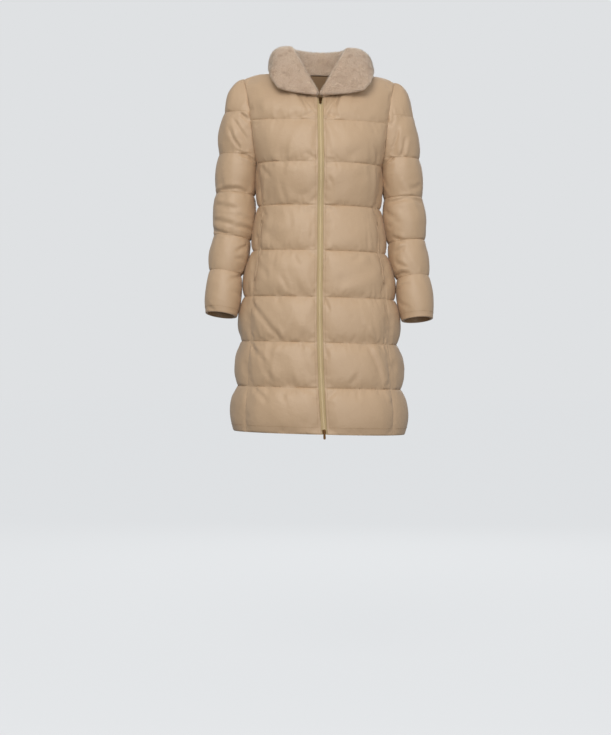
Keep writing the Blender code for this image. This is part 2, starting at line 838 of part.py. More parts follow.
def roll_point(angle):
    """A point of the line over which the collar turns down."""
    ahead, aside = math.cos(angle), math.sin(angle)
    share = (math.degrees(angle) - ROLL_START_DEG) / (ROLL_FULL_HEIGHT_DEG - ROLL_START_DEG)
    rise = math.sin(math.pi / 2 * min(1.0, max(0.0, share)))
    depth = ROLL_FRONT if ahead > 0 else ROLL_BACK
    return Vector((ROLL_HALF_WIDTH * aside, -depth * ahead, ROLL_LOW + (ROLL_HIGH - ROLL_LOW) * rise))


def collar_point(turn, place):
    """A point of the collar. Turn runs from the back, 0, to the front on either side.

    Place 0 is the neckline, 1 the roll and 2 the free edge.
    """
    angle = math.pi - abs(turn)
    foot = neckline(angle) + Vector((0, 0, COLLAR_PLAY))
    roll, edge = roll_point(angle), collar_edge_point(angle)
    if turn > 0:
        edge.x *= LEFT_WING_STRETCH
    outward = Vector((edge.x - roll.x, edge.y - roll.y, 0)).normalized()
    stand, fall = (roll - foot).length, (edge - roll).length
    if place <= 1:
        point = bend(foot, Vector((0, 0, stand)), roll, outward * stand * 0.5, place)
    else:
        leaving = outward * fall * COLLAR_ROUNDING
        point = bend(roll, leaving, edge, (edge - roll) * 1.5 - leaving * 0.5, place - 1)
    return Vector((math.copysign(point.x, turn), point.y, point.z))


def collar_turns():
    """The collar's columns, which stand over the columns of the fronts and the back."""
    share = round(FRONT_COLUMNS * NECK_SHARE)
    start = neck_angle(ZIP_HALF_OPENING / BODY_SEAMS[CHEST].front, 1, 0)
    angles = steps(start, math.pi / 2, share) + steps(math.pi / 2, math.pi, share)[1:]
    turns = [math.pi - angle for angle in angles]
    return [-turn for turn in turns] + list(reversed(turns[:-1]))


def collar_grids():
    """The collar's fur side and the nylon under it."""
    turns = collar_turns()

    def fur_reach(turn, place):
        ends = min(2 - place, (turns[-1] - abs(turn)) * 4, 0.3 + place)
        return FUR_DEPTH * (FUR_EDGE_SHARE + (1 - FUR_EDGE_SHARE) * ease(ends * 3))

    fur = grid_of("collar_fur", collar_point, turns, COLLAR_ROWS, fur_reach, FUR)
    fur.inside = [[-SEAM_TRIM for _ in row] for row in fur.inside]
    under = grid_of("collar_under", collar_point, turns, COLLAR_ROWS, lambda turn, place: -SEAM_TRIM, NYLON)
    under.inside = [[UNDER_COLLAR_WALL for _ in row] for row in under.inside]
    return [fur, under]


# ---- the pockets -------------------------------------------------------------------------


def pocket_lip(name, front, inner_column, edge_column):
    """The folded lip of a pocket mouth, laid on the outer edge of a front."""
    rows = range(POCKET_ROWS[0], POCKET_ROWS[1] + 1)

    def skin(row, column):
        return front.points[row][column] + front.normals[row][column] * front.outside[row][column]

    points, normals = [], []
    for row in rows:
        edge, inner = skin(row, edge_column), skin(row, inner_column)
        line = [edge.lerp(inner, POCKET_LIP_SHARE), edge]
        turn = [front.normals[row][inner_column], front.normals[row][edge_column]]
        middle = turn[1].lerp(turn[0], POCKET_LIP_SHARE).normalized()
        points.append(line if edge_column else list(reversed(line)))
        normals.append([middle, turn[1]] if edge_column else [turn[1], middle])
    out = [[POCKET_LIP_OFF + POCKET_LIP_WALL] * 2 for _ in rows]
    return Grid(name, points, normals, out, [[-POCKET_LIP_OFF] * 2 for _ in rows], NYLON)


# ---- the whole coat ----------------------------------------------------------------------


def clear_scene():
    """Removes whatever the scene holds, and makes the collections."""
    for item in list(bpy.data.objects):
        bpy.data.objects.remove(item)
    for name in (COAT, HELPERS):
        bpy.context.scene.collection.children.link(bpy.data.collections.new(name))


def main():
    """Builds the coat."""
    clear_scene()
    shell = body_grids() + sleeve_grids()
    join_seams(shell)
    front_left, front_right = shell[:2]
    lips = [
        pocket_lip("pocket_lip_left", front_left, FRONT_COLUMNS - 1, FRONT_COLUMNS),
        pocket_lip("pocket_lip_right", front_right, 1, 0),
    ]
    for grid in shell + lips + zip_grids() + collar_grids():
        wall_of(grid)
    for end, level, upward, length in (
        ("top", CHAIN_ENDS[1], 1, TOP_TAB_LENGTH),
        ("bottom", CHAIN_ENDS[0], -1, BOTTOM_TAB_LENGTH),
    ):
        mount = make_slider(f"zip_slider_{end}", level, upward)
        make_tab(f"pull_tab_{end}", mount, upward, length)


main()
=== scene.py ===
"""The looks of a long quilted puffer coat with a turned-down fur collar.

Metres, +Z up, the coat facing -Y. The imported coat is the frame. Its padded panels, collar,
pocket lips, zip teeth and stitches are made here on the coat's own form, which is worked
out from its seams, and each stands for the plain solid that it replaces.
"""

import logging
import math
from contextlib import contextmanager
from dataclasses import dataclass, field
from enum import Enum
from functools import partial
from typing import Callable, Iterator, NamedTuple, Sequence, TypeVar

import bpy
import numpy as np
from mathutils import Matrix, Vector, kdtree


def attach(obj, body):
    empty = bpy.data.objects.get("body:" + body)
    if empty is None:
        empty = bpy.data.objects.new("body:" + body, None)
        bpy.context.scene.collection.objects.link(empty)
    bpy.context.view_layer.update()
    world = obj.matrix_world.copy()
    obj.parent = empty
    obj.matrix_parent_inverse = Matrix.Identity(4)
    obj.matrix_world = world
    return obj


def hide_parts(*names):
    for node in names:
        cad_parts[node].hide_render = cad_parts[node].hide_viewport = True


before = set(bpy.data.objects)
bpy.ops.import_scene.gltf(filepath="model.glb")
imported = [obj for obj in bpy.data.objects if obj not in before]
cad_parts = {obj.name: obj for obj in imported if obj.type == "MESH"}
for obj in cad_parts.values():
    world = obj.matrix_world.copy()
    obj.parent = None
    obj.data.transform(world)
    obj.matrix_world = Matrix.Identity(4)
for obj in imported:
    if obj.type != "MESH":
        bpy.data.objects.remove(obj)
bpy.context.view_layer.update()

LOG = logging.getLogger("puffer_coat")
MILLIMETRE = 0.001
BODY = "coat"
NOTHING = 1e-12
Surface = Callable[[float, float], Vector]
Value = TypeVar("Value", float, Vector)


# ---- curves ------------------------------------------------------------------------------


def bend(start: Value, leaving: Value, end: Value, arriving: Value, share: float) -> Value:
    """A cubic from start to end.

    Args:
        start, end: The two ends, numbers or vectors.
        leaving, arriving: The rates of change at the two ends.
        share: The place between the ends, 0 to 1.

    Returns:
        The number or vector there.
    """
    square, cube = share**2, share**3
    return (
        start * (2 * cube - 3 * square + 1)
        + leaving * (cube - 2 * square + share)
        + end * (3 * square - 2 * cube)
        + arriving * (cube - square)
    )


def between(rows: Sequence[NamedTuple], column: str, place: float) -> float:
    """A table's column read on a smooth curve through its rows.

    Args:
        rows: The table.
        column: The column's name.
        place: The place between rows, 0 at the first.

    Returns:
        The value there.
    """
    last = len(rows) - 1
    first = min(max(int(place), 0), last - 1)
    start = getattr(rows[first], column)
    end = getattr(rows[first + 1], column)
    before = getattr(rows[first - 1], column) if first > 0 else 2 * start - end
    after = getattr(rows[first + 2], column) if first + 2 <= last else 2 * end - start
    return bend(start, (end - before) / 2, end, (after - start) / 2, place - first)


def ease(share: float | np.ndarray) -> np.ndarray:
    """A smooth step from 0 to 1, for a number or an array."""
    share = np.clip(share, 0.0, 1.0)
    return share * share * (3 - 2 * share)


def steps(start: float, end: float, count: int) -> list[float]:
    """Evenly spaced values from start to end."""
    return [start + (end - start) * at / count for at in range(count + 1)]


def crowded(stops: Sequence[float], counts: Sequence[int], crowding: float) -> list[float]:
    """Values between stops that crowd together near each stop, where cloth creases.

    Args:
        stops: The values that are hit exactly.
        counts: How many steps lie between each stop and the next.
        crowding: 0 for even steps, towards 1 for steps that vanish at the stops.

    Returns:
        All the values, from the first stop to the last.
    """
    values = [stops[0]]
    for low, high, count in zip(stops, stops[1:], counts):
        for share in steps(0, 1, count)[1:]:
            nearing = share - crowding * math.sin(2 * math.pi * share) / (2 * math.pi)
            values.append(low + (high - low) * nearing)
    return values


RIPPLE_POINTS = 512
RIPPLE_START = 128


def ripple(places: np.ndarray, pitch: float, seed: int) -> np.ndarray:
    """An uneven wave from -1 to 1 along a line.

    Args:
        places: Distances along the line, in metres.
        pitch: The mean distance from one wave to the next.
        seed: Picks one of many such waves.

    Returns:
        The wave's height at each place.
    """
    heights = np.random.default_rng(seed).uniform(-1, 1, RIPPLE_POINTS)
    at = places / (pitch / 2) + RIPPLE_START
    first = np.floor(at).astype(int)
    share = ease(at - first)
    before, after = heights[first % RIPPLE_POINTS], heights[(first + 1) % RIPPLE_POINTS]
    return before * (1 - share) + after * share


# ---- the coat's form ---------------------------------------------------------------------


class BodySeam(NamedTuple):
    """The body at one quilting seam. Depths are from the middle of the coat."""

    height: float
    half_width: float
    front: float
    back: float
    side_seam_deg: float
    zip_shift: float
    puff: float


class SleeveRing(NamedTuple):
    """A sleeve at one quilting seam: the ring's centre and its half width and half depth."""

    height: float
    side: float
    forward: float
    half_width: float
    half_depth: float


class CollarEdge(NamedTuple):
    """The collar's free edge at one angle from the front."""

    side: float
    forward: float
    height: float


@dataclass(frozen=True)
class BodyForm:
    """The hollow body of the coat: rings at the quilting seams, closed above to the shoulders."""

    seams: tuple = (
        BodySeam(-0.8810, 0.2095, 0.150, 0.153, 63.0, 0.0115, 0.014),
        BodySeam(-0.7685, 0.2030, 0.143, 0.149, 64.0, 0.0050, 0.011),
        BodySeam(-0.6580, 0.1930, 0.136, 0.146, 65.0, 0.0015, 0.011),
        BodySeam(-0.5470, 0.1860, 0.130, 0.142, 66.0, 0.0005, 0.011),
        BodySeam(-0.4330, 0.1640, 0.122, 0.128, 68.0, 0.0020, 0.009),
        BodySeam(-0.3220, 0.1500, 0.113, 0.108, 71.0, 0.0025, 0.008),
        BodySeam(-0.2170, 0.1570, 0.124, 0.116, 73.5, 0.0040, 0.008),
        BodySeam(-0.1125, 0.1900, 0.108, 0.112, 75.5, 0.0025, 0.008),
    )
    chest: int = 7
    shoulder: int = 8
    squareness: float = 2.3
    lean: float = 0.0245
    armhole_half_width: float = 0.056
    armhole_drop: float = 1.08
    junction: float = 7 - 2 / 3
    narrowing: int = 5
    neck_half_width: float = 0.078
    neck_front: float = 0.080
    neck_back: float = 0.068
    neck_front_height: float = -0.056
    neck_side_height: float = 0.014
    neck_back_height: float = 0.020
    shoulder_half_width: float = 0.188
    shoulder_height: float = -0.004
    shoulder_rounding: float = 3.0
    neck_share: float = 0.5
    yoke_run: float = 0.42
    yoke_run_at_shoulder: float = 0.48
    yoke_rise: float = 0.9
    yoke_look_down: float = 0.1
    zip_half_opening: float = 0.0075

    def hung(self, point: Vector) -> Vector:
        """The point with the coat's lean towards the wearer's left."""
        return Vector((point.x, point.y, point.z - self.lean * point.x))

    def ring_point(self, level: float, angle: float) -> Vector:
        """A point of the body's ring.

        Args:
            level: The height, counted in quilting seams up from the hem.
            angle: The angle from the front towards +X, in radians.

        Returns:
            The point.
        """
        width = between(self.seams, "half_width", level)
        ahead, aside = math.cos(angle), math.sin(angle)
        depth = between(self.seams, "front" if ahead > 0 else "back", level)
        reach = abs(ahead / depth) ** self.squareness + abs(aside / width) ** self.squareness
        radius = reach ** (-1 / self.squareness)
        return Vector((radius * aside, -radius * ahead, between(self.seams, "height", level)))

    def angle_at_depth(self, level: float, forward: float) -> float:
        """The angle at which the body's ring is this far forward of the middle."""
        width = between(self.seams, "half_width", level)
        depth = between(self.seams, "front" if forward > 0 else "back", level)
        aside = width * (1 - abs(forward / depth) ** self.squareness) ** (1 / self.squareness)
        return math.atan2(aside, forward)

    def armhole_angle(self, level: float, facing: int) -> float:
        """The angle of the armhole's lower edge. Facing is 1 in front and -1 behind."""
        turn = math.asin(min(1.0, max(0.0, (self.chest - level) / self.armhole_drop)))
        return self.angle_at_depth(level, facing * self.armhole_half_width * math.cos(turn))

    def seam_angle(self, level: float, facing: int) -> float:
        """The angle of a front's or the back's outer edge, at the side seam and the armhole.

        Args:
            level: The height, counted in quilting seams.
            facing: 1 for a front, -1 for the back.

        Returns:
            The angle from the front, in radians.
        """
        if level >= self.junction:
            return self.armhole_angle(min(level, self.chest), facing)
        angle = math.radians(between(self.seams, "side_seam_deg", level))
        angle = angle if facing > 0 else math.pi - angle
        nearing = ease((level - self.narrowing) / (self.junction - self.narrowing))
        return angle + nearing * (self.armhole_angle(self.junction, facing) - angle)

    def neckline(self, angle: float) -> Vector:
        """A point of the neckline, at an angle from the front."""
        ahead, aside = math.cos(angle), math.sin(angle)
        depth = self.neck_front if ahead > 0 else self.neck_back
        end = self.neck_front_height if ahead > 0 else self.neck_back_height
        height = self.neck_side_height + (end - self.neck_side_height) * ahead**2
        return Vector((self.neck_half_width * aside, -depth * ahead, height))

    def shoulder_seam(self, share: float) -> Vector:
        """A point of the shoulder seam, from the neck to the armhole."""
        side = self.neck_half_width + share * (self.shoulder_half_width - self.neck_half_width)
        fallen = max(share, 0.0) ** self.shoulder_rounding
        drop = (self.shoulder_height - self.neck_side_height) * fallen
        return Vector((side, 0.0, self.neck_side_height + drop))

    def neck_angle(self, first_angle: float, facing: int, share: float) -> float:
        """The angle on the neckline at a share of the way from a panel's first column."""
        centre = 0.0 if facing > 0 else math.pi
        start = centre + (first_angle - centre) * self.seams[self.chest].front / self.neck_front
        return start + (math.pi / 2 - start) * share

    def yoke_point(self, facing: int, across: float, level: float, first_angle: float) -> Vector:
        """A point of a panel above the chest seam, where it closes to neckline and shoulder.

        Args:
            facing: 1 for a front, -1 for the back.
            across: 0 at the panel's first column, 1 at the armhole.
            level: From the chest seam's level to the shoulder's.
            first_angle: The angle of the panel's first column at the chest.

        Returns:
            The point, on the +X side.
        """
        span = self.armhole_angle(self.chest, facing) - first_angle
        low = self.ring_point(self.chest, first_angle + across * span)
        if across <= self.neck_share:
            high = self.neckline(self.neck_angle(first_angle, facing, across / self.neck_share))
        else:
            high = self.shoulder_seam((across - self.neck_share) / (1 - self.neck_share))
        chord = (high - low).length
        over = float(ease(across / self.neck_share))
        centre = 0.0 if facing > 0 else math.pi
        below = self.ring_point(self.chest - self.yoke_look_down, centre)
        rise = self.ring_point(self.chest, centre) - below
        leaving = chord * Vector((0.0, rise.y * (1 - across), rise.z)).normalized()
        run = self.yoke_run + self.yoke_run_at_shoulder * over
        arriving = chord * Vector((0.0, facing * run, self.yoke_rise * (1 - over)))
        return bend(low, leaving, high, arriving, level - self.chest)

    def zip_angle(self, level: float, offset: float) -> float:
        """The angle of a point beside the zip's line, which drifts to the wearer's left."""
        level = min(level, self.chest)
        shift = between(self.seams, "zip_shift", level)
        return (shift + offset) / between(self.seams, "front", level)

    def zip_point(self, offset: float, level: float) -> Vector:
        """A point of the coat's front at a distance to the side of the zip's line."""
        angle = self.zip_angle(level, offset)
        if level > self.chest:
            return self.yoke_point(1, 0.0, level, angle)
        return self.ring_point(level, angle)

    def front_point(self, across: float, level: float, side: int) -> Vector:
        """A point of a front, from the zip's edge to the side seam. Side 1 is towards +X."""
        first = side * self.zip_angle(level, side * self.zip_half_opening)
        if level > self.chest:
            point = self.yoke_point(1, across, level, first)
        else:
            point = self.ring_point(level, first + across * (self.seam_angle(level, 1) - first))
        return Vector((side * point.x, point.y, point.z))

    def back_point(self, across: float, level: float) -> Vector:
        """A point of the back panel, from -1 at the wearer's left to 1 at the right."""
        share = abs(across)
        if level > self.chest:
            point = self.yoke_point(-1, share, level, math.pi)
        else:
            point = self.ring_point(level, math.pi + share * (self.seam_angle(level, -1) - math.pi))
        return Vector((-point.x if across > 0 else point.x, point.y, point.z))

    def side_top(self, across: float) -> tuple[float, float]:
        """The level of the armhole above a place on the side panel, and its turn."""
        start = math.asin((self.chest - self.junction) / self.armhole_drop)
        turn = start + (math.pi / 2 - start) * (1 - abs(1 - 2 * across))
        return self.chest - self.armhole_drop * math.sin(turn), turn

    def side_level(self, across: float, share: float) -> float:
        """The level of a side panel's row: even to the waist, then stretched to the armhole."""
        if share <= self.narrowing:
            return share
        top, _ = self.side_top(across)
        return self.narrowing + (share - self.narrowing) * (top - self.narrowing)

    def side_point(self, across: float, share: float) -> Vector:
        """A point of the +X side panel: across from front to back, up from hem to armhole."""
        level = self.side_level(across, share)
        side_seam = math.radians(between(self.seams, "side_seam_deg", level))
        angle = side_seam + across * (math.pi - 2 * side_seam)
        if level > self.narrowing:
            top, turn = self.side_top(across)
            facing = 1 if across < 0.5 else -1
            high = self.angle_at_depth(top, facing * self.armhole_half_width * math.cos(turn))
            angle += ease((level - self.narrowing) / (top - self.narrowing)) * (high - angle)
        return self.ring_point(level, float(angle))

    def armhole_point(self, turn: float) -> Vector:
        """A point of the armhole: 0 at the shoulder, 1 at the chest, 2 at the armpit.

        Args:
            turn: Positive in front and negative behind, up to 2 either way.

        Returns:
            The point, on the +X side.
        """
        facing, folded = (1 if turn >= 0 else -1), abs(turn)
        if folded < 1:
            centre = 0.0 if facing > 0 else math.pi
            return self.yoke_point(facing, 1.0, self.shoulder - folded, centre)
        level = self.chest - self.armhole_drop * math.sin((folded - 1) * math.pi / 2)
        return self.ring_point(level, self.armhole_angle(level, facing))


@dataclass(frozen=True)
class SleeveForm:
    """A sleeve on the +X side, set into the armhole and hanging a little forward at the cuff."""

    body: BodyForm
    rings: tuple = (
        SleeveRing(-0.2910, 0.2100, -0.008, 0.0475, 0.056),
        SleeveRing(-0.4010, 0.2180, -0.004, 0.0450, 0.053),
        SleeveRing(-0.4900, 0.2335, 0.010, 0.0390, 0.048),
        SleeveRing(-0.5940, 0.2440, 0.026, 0.0380, 0.043),
    )
    cap_seams: tuple = (-0.0060, -0.0890, -0.1925, -0.2910)
    armpit_height: float = -0.2255
    cap_out: float = 0.045
    cap_out_at_top: float = 0.135
    cap_fall_at_top: float = 0.07
    cap_out_at_ring: float = 0.03
    cap_fall_at_ring: float = 0.9
    look_ahead: float = 0.05
    search_steps: int = 13

    def halved(self, low: float, high: float, is_low: Callable[[float], bool]) -> float:
        """Where a test turns false between two values, found by halving."""
        for _ in range(self.search_steps):
            middle = (low + high) / 2
            low, high = (middle, high) if is_low(middle) else (low, middle)
        return (low + high) / 2

    def centre(self, place: float) -> Vector:
        """The middle of the sleeve's ring at a place down from the first whole ring."""
        side, forward, height = (
            between(self.rings, column, place) for column in ("side", "forward", "height")
        )
        return Vector((side, -forward, height))

    def ring_point(self, turn: float, place: float) -> Vector:
        """A point of the sleeve below the armpit, on a ring square to the sleeve's own line."""
        centre = self.centre(place)
        line = (self.centre(place + self.look_ahead) - centre).normalized()
        outward = (Vector((1, 0, 0)) - line * line.x).normalized()
        angle = turn * math.pi / 2
        width = between(self.rings, "half_width", place)
        depth = between(self.rings, "half_depth", place)
        aside = outward * width * math.cos(angle)
        return centre + aside + line.cross(outward) * depth * math.sin(angle)

    def cap_point(self, turn: float, share: float) -> Vector:
        """A point of the cap, from the armhole, 0, to the first whole ring, 1."""
        start, end = self.body.armhole_point(turn), self.ring_point(turn, 0)
        up = (1 + math.cos(turn * math.pi / 2)) / 2
        leaving = Vector((self.cap_out + self.cap_out_at_top * up, 0, -self.cap_fall_at_top * up))
        fall = self.cap_fall_at_ring * (end - start).length
        arriving = Vector((self.cap_out_at_ring * up, 0, -fall))
        return bend(start, leaving, end, arriving, share)

    def lowest_turn(self, height: float, facing: int) -> float:
        """The turn at which the armhole is at this height, in front or behind."""
        armhole = self.body.armhole_point
        return facing * self.halved(0.0, 2.0, lambda turn: armhole(facing * turn).z > height)

    def level_point(self, turn: float, height: float) -> Vector:
        """The point of the cap's column at this turn that is at a height."""
        tilt = self.ring_point(turn, 0).z - self.cap_seams[-1]
        span = self.armpit_height - self.cap_seams[-1]
        goal = height + tilt * float(ease((self.armpit_height - height) / span))
        share = self.halved(0.0, 1.0, lambda share: self.cap_point(turn, share).z > goal)
        return self.cap_point(turn, share)

    def point(self, across: float, place: float) -> Vector:
        """A point of the sleeve as it is cut: a sheet from front edge to back edge.

        Args:
            across: 0 at the front edge, 1 at the back edge. Below the armpit both are the
                underarm seam, and above it they are the armhole.
            place: From 0 at the cuff to 3 at the first whole ring, and 6 at the shoulder.

        Returns:
            The point.
        """
        whole = len(self.rings) - 1
        if place <= whole:
            return self.ring_point(2 - 4 * across, whole - place)
        above = place - whole
        if above >= whole:
            return self.body.armhole_point(0.0)
        height = self.cap_height(above)
        front, behind = self.lowest_turn(height, 1), self.lowest_turn(height, -1)
        return self.level_point(front + (behind - front) * across, height)

    def cap_height(self, above: float) -> float:
        """The height of a row of the cap, whose upper channel is spaced along the cloth."""
        top = len(self.cap_seams) - 2
        channel = min(int(above), top)
        share = above - channel
        high, low = self.cap_seams[top - channel : top - channel + 2]
        return low + (high - low) * (share if channel < top else math.sin(math.pi / 2 * share))


@dataclass(frozen=True)
class CollarForm:
    """The collar: it stands up from the neckline, rolls over and falls in two wings."""

    body: BodyForm
    play: float = 0.0015
    roll_half_width: float = 0.074
    roll_front: float = 0.088
    roll_back: float = 0.078
    roll_low: float = -0.051
    roll_high: float = 0.074
    roll_start_deg: float = 5.0
    roll_full_height_deg: float = 95.0
    edge: tuple = (
        CollarEdge(0.098, 0.116, -0.044),
        CollarEdge(0.116, 0.098, -0.016),
        CollarEdge(0.118, 0.058, 0.008),
        CollarEdge(0.116, 0.008, 0.016),
        CollarEdge(0.101, -0.056, 0.004),
        CollarEdge(0.060, -0.101, -0.012),
        CollarEdge(0.000, -0.118, -0.020),
    )
    edge_step_deg: float = 30.0
    rounding: float = 1.9
    left_wing_stretch: float = 1.085

    def edge_point(self, angle: float) -> Vector:
        """A point of the collar's free edge, at an angle from the front."""
        place = math.degrees(angle) / self.edge_step_deg
        side, forward, height = (between(self.edge, column, place) for column in CollarEdge._fields)
        return Vector((side, -forward, height))

    def roll_point(self, angle: float) -> Vector:
        """A point of the line over which the collar turns down."""
        ahead, aside = math.cos(angle), math.sin(angle)
        span = self.roll_full_height_deg - self.roll_start_deg
        share = (math.degrees(angle) - self.roll_start_deg) / span
        rise = math.sin(math.pi / 2 * min(1.0, max(0.0, share)))
        depth = self.roll_front if ahead > 0 else self.roll_back
        height = self.roll_low + (self.roll_high - self.roll_low) * rise
        return Vector((self.roll_half_width * aside, -depth * ahead, height))

    def point(self, turn: float, place: float) -> Vector:
        """A point of the collar.

        Args:
            turn: The angle from the back, 0, to the front on either side.
            place: 0 at the neckline, 1 at the roll and 2 at the free edge.

        Returns:
            The point.
        """
        angle = math.pi - abs(turn)
        foot = self.body.neckline(angle) + Vector((0, 0, self.play))
        roll, edge = self.roll_point(angle), self.edge_point(angle)
        if turn > 0:
            edge.x *= self.left_wing_stretch
        outward = Vector((edge.x - roll.x, edge.y - roll.y, 0)).normalized()
        stand, fall = (roll - foot).length, (edge - roll).length
        if place <= 1:
            point = bend(foot, Vector((0, 0, stand)), roll, outward * stand * 0.5, place)
        else:
            leaving = outward * fall * self.rounding
            arriving = (edge - roll) * 1.5 - leaving * 0.5
            point = bend(roll, leaving, edge, arriving, place - 1)
        return Vector((math.copysign(point.x, turn), point.y, point.z))

    def last_turn(self) -> float:
        """The turn of the collar's front ends, beside the zip."""
        chest = self.body.seams[self.body.chest]
        return math.pi - self.body.neck_angle(self.body.zip_half_opening / chest.front, 1, 0)


# ---- finishes ----------------------------------------------------------------------------


def linear(code: str) -> tuple[float, float, float, float]:
    """The linear colour of an sRGB hex code such as "C8AA8C"."""
    parts = np.array([int(code[at : at + 2], 16) for at in (0, 2, 4)]) / 255
    dim, bright = parts / 12.92, ((parts + 0.055) / 1.055) ** 2.4
    return (*np.where(parts <= 0.04045, dim, bright).tolist(), 1.0)


def new_material(
    name: str, colour: str
) -> tuple[bpy.types.Material, bpy.types.NodeTree, bpy.types.Node]:
    """A new material with its node tree and its shader.

    Args:
        name: The material's name.
        colour: Its colour in a viewport, as an sRGB hex code.

    Returns:
        The material, its node tree and its shader.
    """
    material = bpy.data.materials.new(name)
    material.use_nodes = True
    material.diffuse_color = linear(colour)
    return material, material.node_tree, material.node_tree.nodes["Principled BSDF"]


def add_node(tree: bpy.types.NodeTree, kind: str, settings: dict, links: dict) -> bpy.types.Node:
    """Adds a node with its settings and links.

    Args:
        tree: The material's node tree.
        kind: The node's type name, without the "ShaderNode" that all begin with.
        settings: Values for its properties, or for its inputs by name or number.
        links: For an input's name or number, the output that feeds it.

    Returns:
        The node.
    """
    node = tree.nodes.new("ShaderNode" + kind)
    for name, value in settings.items():
        if isinstance(name, str) and hasattr(node, name):
            setattr(node, name, value)
        else:
            node.inputs[name].default_value = value
    for name, output in links.items():
        tree.links.new(output, node.inputs[name])
    return node


class Mapped(Enum):
    """What a pattern is laid out on."""

    CLOTH = "UV"
    OBJECT = "Object"


WAVE_PERIOD = math.pi / 10
GLOSS_SPREAD = 0.06


@dataclass(frozen=True)
class Finish:
    """A surface: its colours, its gloss and the size of what makes it uneven."""

    name: str
    colour: str
    darker: str
    roughness: float
    metallic: float = 0.0
    sheen: float = 0.0
    mapped: Mapped = Mapped.CLOTH
    blotch: float = 0.05
    crinkle: float = 0.012
    crinkle_depth: float = 0.0
    thread: float = 0.0
    thread_depth: float = 0.0
    twill: bool = False

    def make(self) -> bpy.types.Material:
        """The material: colour in soft blotches, a weave and a crinkle in its relief.

        Returns:
            The material, made once for each finish.
        """
        found = bpy.data.materials.get(self.name)
        if found:
            return found
        material, tree, shader = new_material(self.name, self.colour)
        shader.inputs["Metallic"].default_value = self.metallic
        shader.inputs["Sheen Weight"].default_value = self.sheen
        shader.inputs["Sheen Roughness"].default_value = 0.4
        place = add_node(tree, "TexCoord", {}, {}).outputs[self.mapped.value]
        pattern = {"Scale": 1 / self.blotch, "Detail": 3.0}
        blotches = add_node(tree, "TexNoise", pattern, {"Vector": place}).outputs["Fac"]
        colours = {"data_type": "RGBA", 6: linear(self.darker), 7: linear(self.colour)}
        colour = add_node(tree, "Mix", colours, {0: blotches})
        tree.links.new(colour.outputs[2], shader.inputs["Base Color"])
        ends = {"To Min": self.roughness - GLOSS_SPREAD, "To Max": self.roughness + GLOSS_SPREAD}
        gloss = add_node(tree, "MapRange", ends, {"Value": blotches})
        tree.links.new(gloss.outputs["Result"], shader.inputs["Roughness"])
        self.add_relief(tree, place, shader)
        return material

    def add_relief(
        self, tree: bpy.types.NodeTree, place: bpy.types.NodeSocket, shader: bpy.types.Node
    ) -> None:
        """Adds the crinkle and the weave to the shader's normal.

        Args:
            tree: The material's node tree.
            place: The output that lays the pattern out.
            shader: The shader that takes the normal.
        """
        layers = []
        if self.crinkle_depth:
            pattern = {
                "Scale": 1 / self.crinkle, "Detail": 4.0, "Roughness": 0.55, "Distortion": 0.4,
            }
            layers.append(("TexNoise", pattern, self.crinkle_depth))
        if self.thread_depth:
            for direction in ("DIAGONAL",) if self.twill else ("X", "Y"):
                scale = WAVE_PERIOD / self.thread
                pattern = {"bands_direction": direction, "Scale": scale, "Distortion": 0.3}
                layers.append(("TexWave", pattern, self.thread_depth))
        normal = {}
        for kind, pattern, depth in layers:
            height = add_node(tree, kind, pattern, {"Vector": place}).outputs["Fac"]
            bump = add_node(tree, "Bump", {"Distance": depth}, {"Height": height, **normal})
            normal = {"Normal": bump.outputs["Normal"]}
        if normal:
            tree.links.new(normal["Normal"], shader.inputs["Normal"])


# Downproof nylon taffeta, calendered: a satin gloss and a soft crinkle from the down behind it.
# Its threads are 0.1 mm apart, and are drawn 0.9 mm apart so that they show.
TAFFETA = Finish(
    "camel_nylon_taffeta", "C2A687", "B99C7C", 0.50, sheen=0.10, blotch=0.11,
    crinkle=0.016, crinkle_depth=0.0011, thread=0.0009, thread_depth=0.00002,
)
# Acetate lining, plain woven and darker than the shell: a smoother, cooler gloss.
LINING = Finish(
    "beige_acetate_lining", "A98B6C", "9C7F61", 0.36, blotch=0.08,
    crinkle=0.03, crinkle_depth=0.001, thread=0.0009, thread_depth=0.00002,
)
# Spun polyester sewing thread, twisted: matt, a shade darker than the cloth.
THREAD = Finish(
    "camel_sewing_thread", "A98862", "9A7A56", 0.7, mapped=Mapped.OBJECT, blotch=0.02,
    thread=0.0005, thread_depth=0.00004, twill=True,
)
# The thicker thread of the bar tacks, dyed a deep brown.
TACK_THREAD = Finish(
    "brown_bar_tack_thread", "7E6347", "6E543B", 0.7, mapped=Mapped.OBJECT, blotch=0.02,
    thread=0.0005, thread_depth=0.00004, twill=True,
)
# Woven polyester zip tape: a matt herringbone in an olive beige.
TAPE = Finish(
    "olive_beige_woven_tape", "B8A27C", "AD976F", 0.8, sheen=0.1, mapped=Mapped.OBJECT, blotch=0.03,
    thread=0.0012, thread_depth=0.00008, twill=True,
)
# Die-cast zinc teeth plated a matt pale gold: soft, broad highlights.
TEETH = Finish(
    "matt_gold_plated_zinc", "D8C49C", "C9B388", 0.5, metallic=0.15, mapped=Mapped.OBJECT,
    blotch=0.004, crinkle=0.001, crinkle_depth=0.00003,
)
# Zinc slider with an antique bronze plating, rubbed: brown in the hollows, brighter on edges.
BRONZE = Finish(
    "antique_bronze_plated_zinc", "6B4F30", "3A2819", 0.34, metallic=1.0, mapped=Mapped.OBJECT,
    blotch=0.0035, crinkle=0.0012, crinkle_depth=0.00004,
)
# The dense backing of a short-pile faux fur, seen only between the hairs.
PELT = Finish(
    "taupe_fur_backing", "DCC7B1", "CDB59D", 0.95, sheen=0.3, mapped=Mapped.OBJECT, blotch=0.014,
    crinkle=0.0022, crinkle_depth=0.0012,
)
FLECK_FREQUENCY = 1 / 0.017
TIP = "tip"


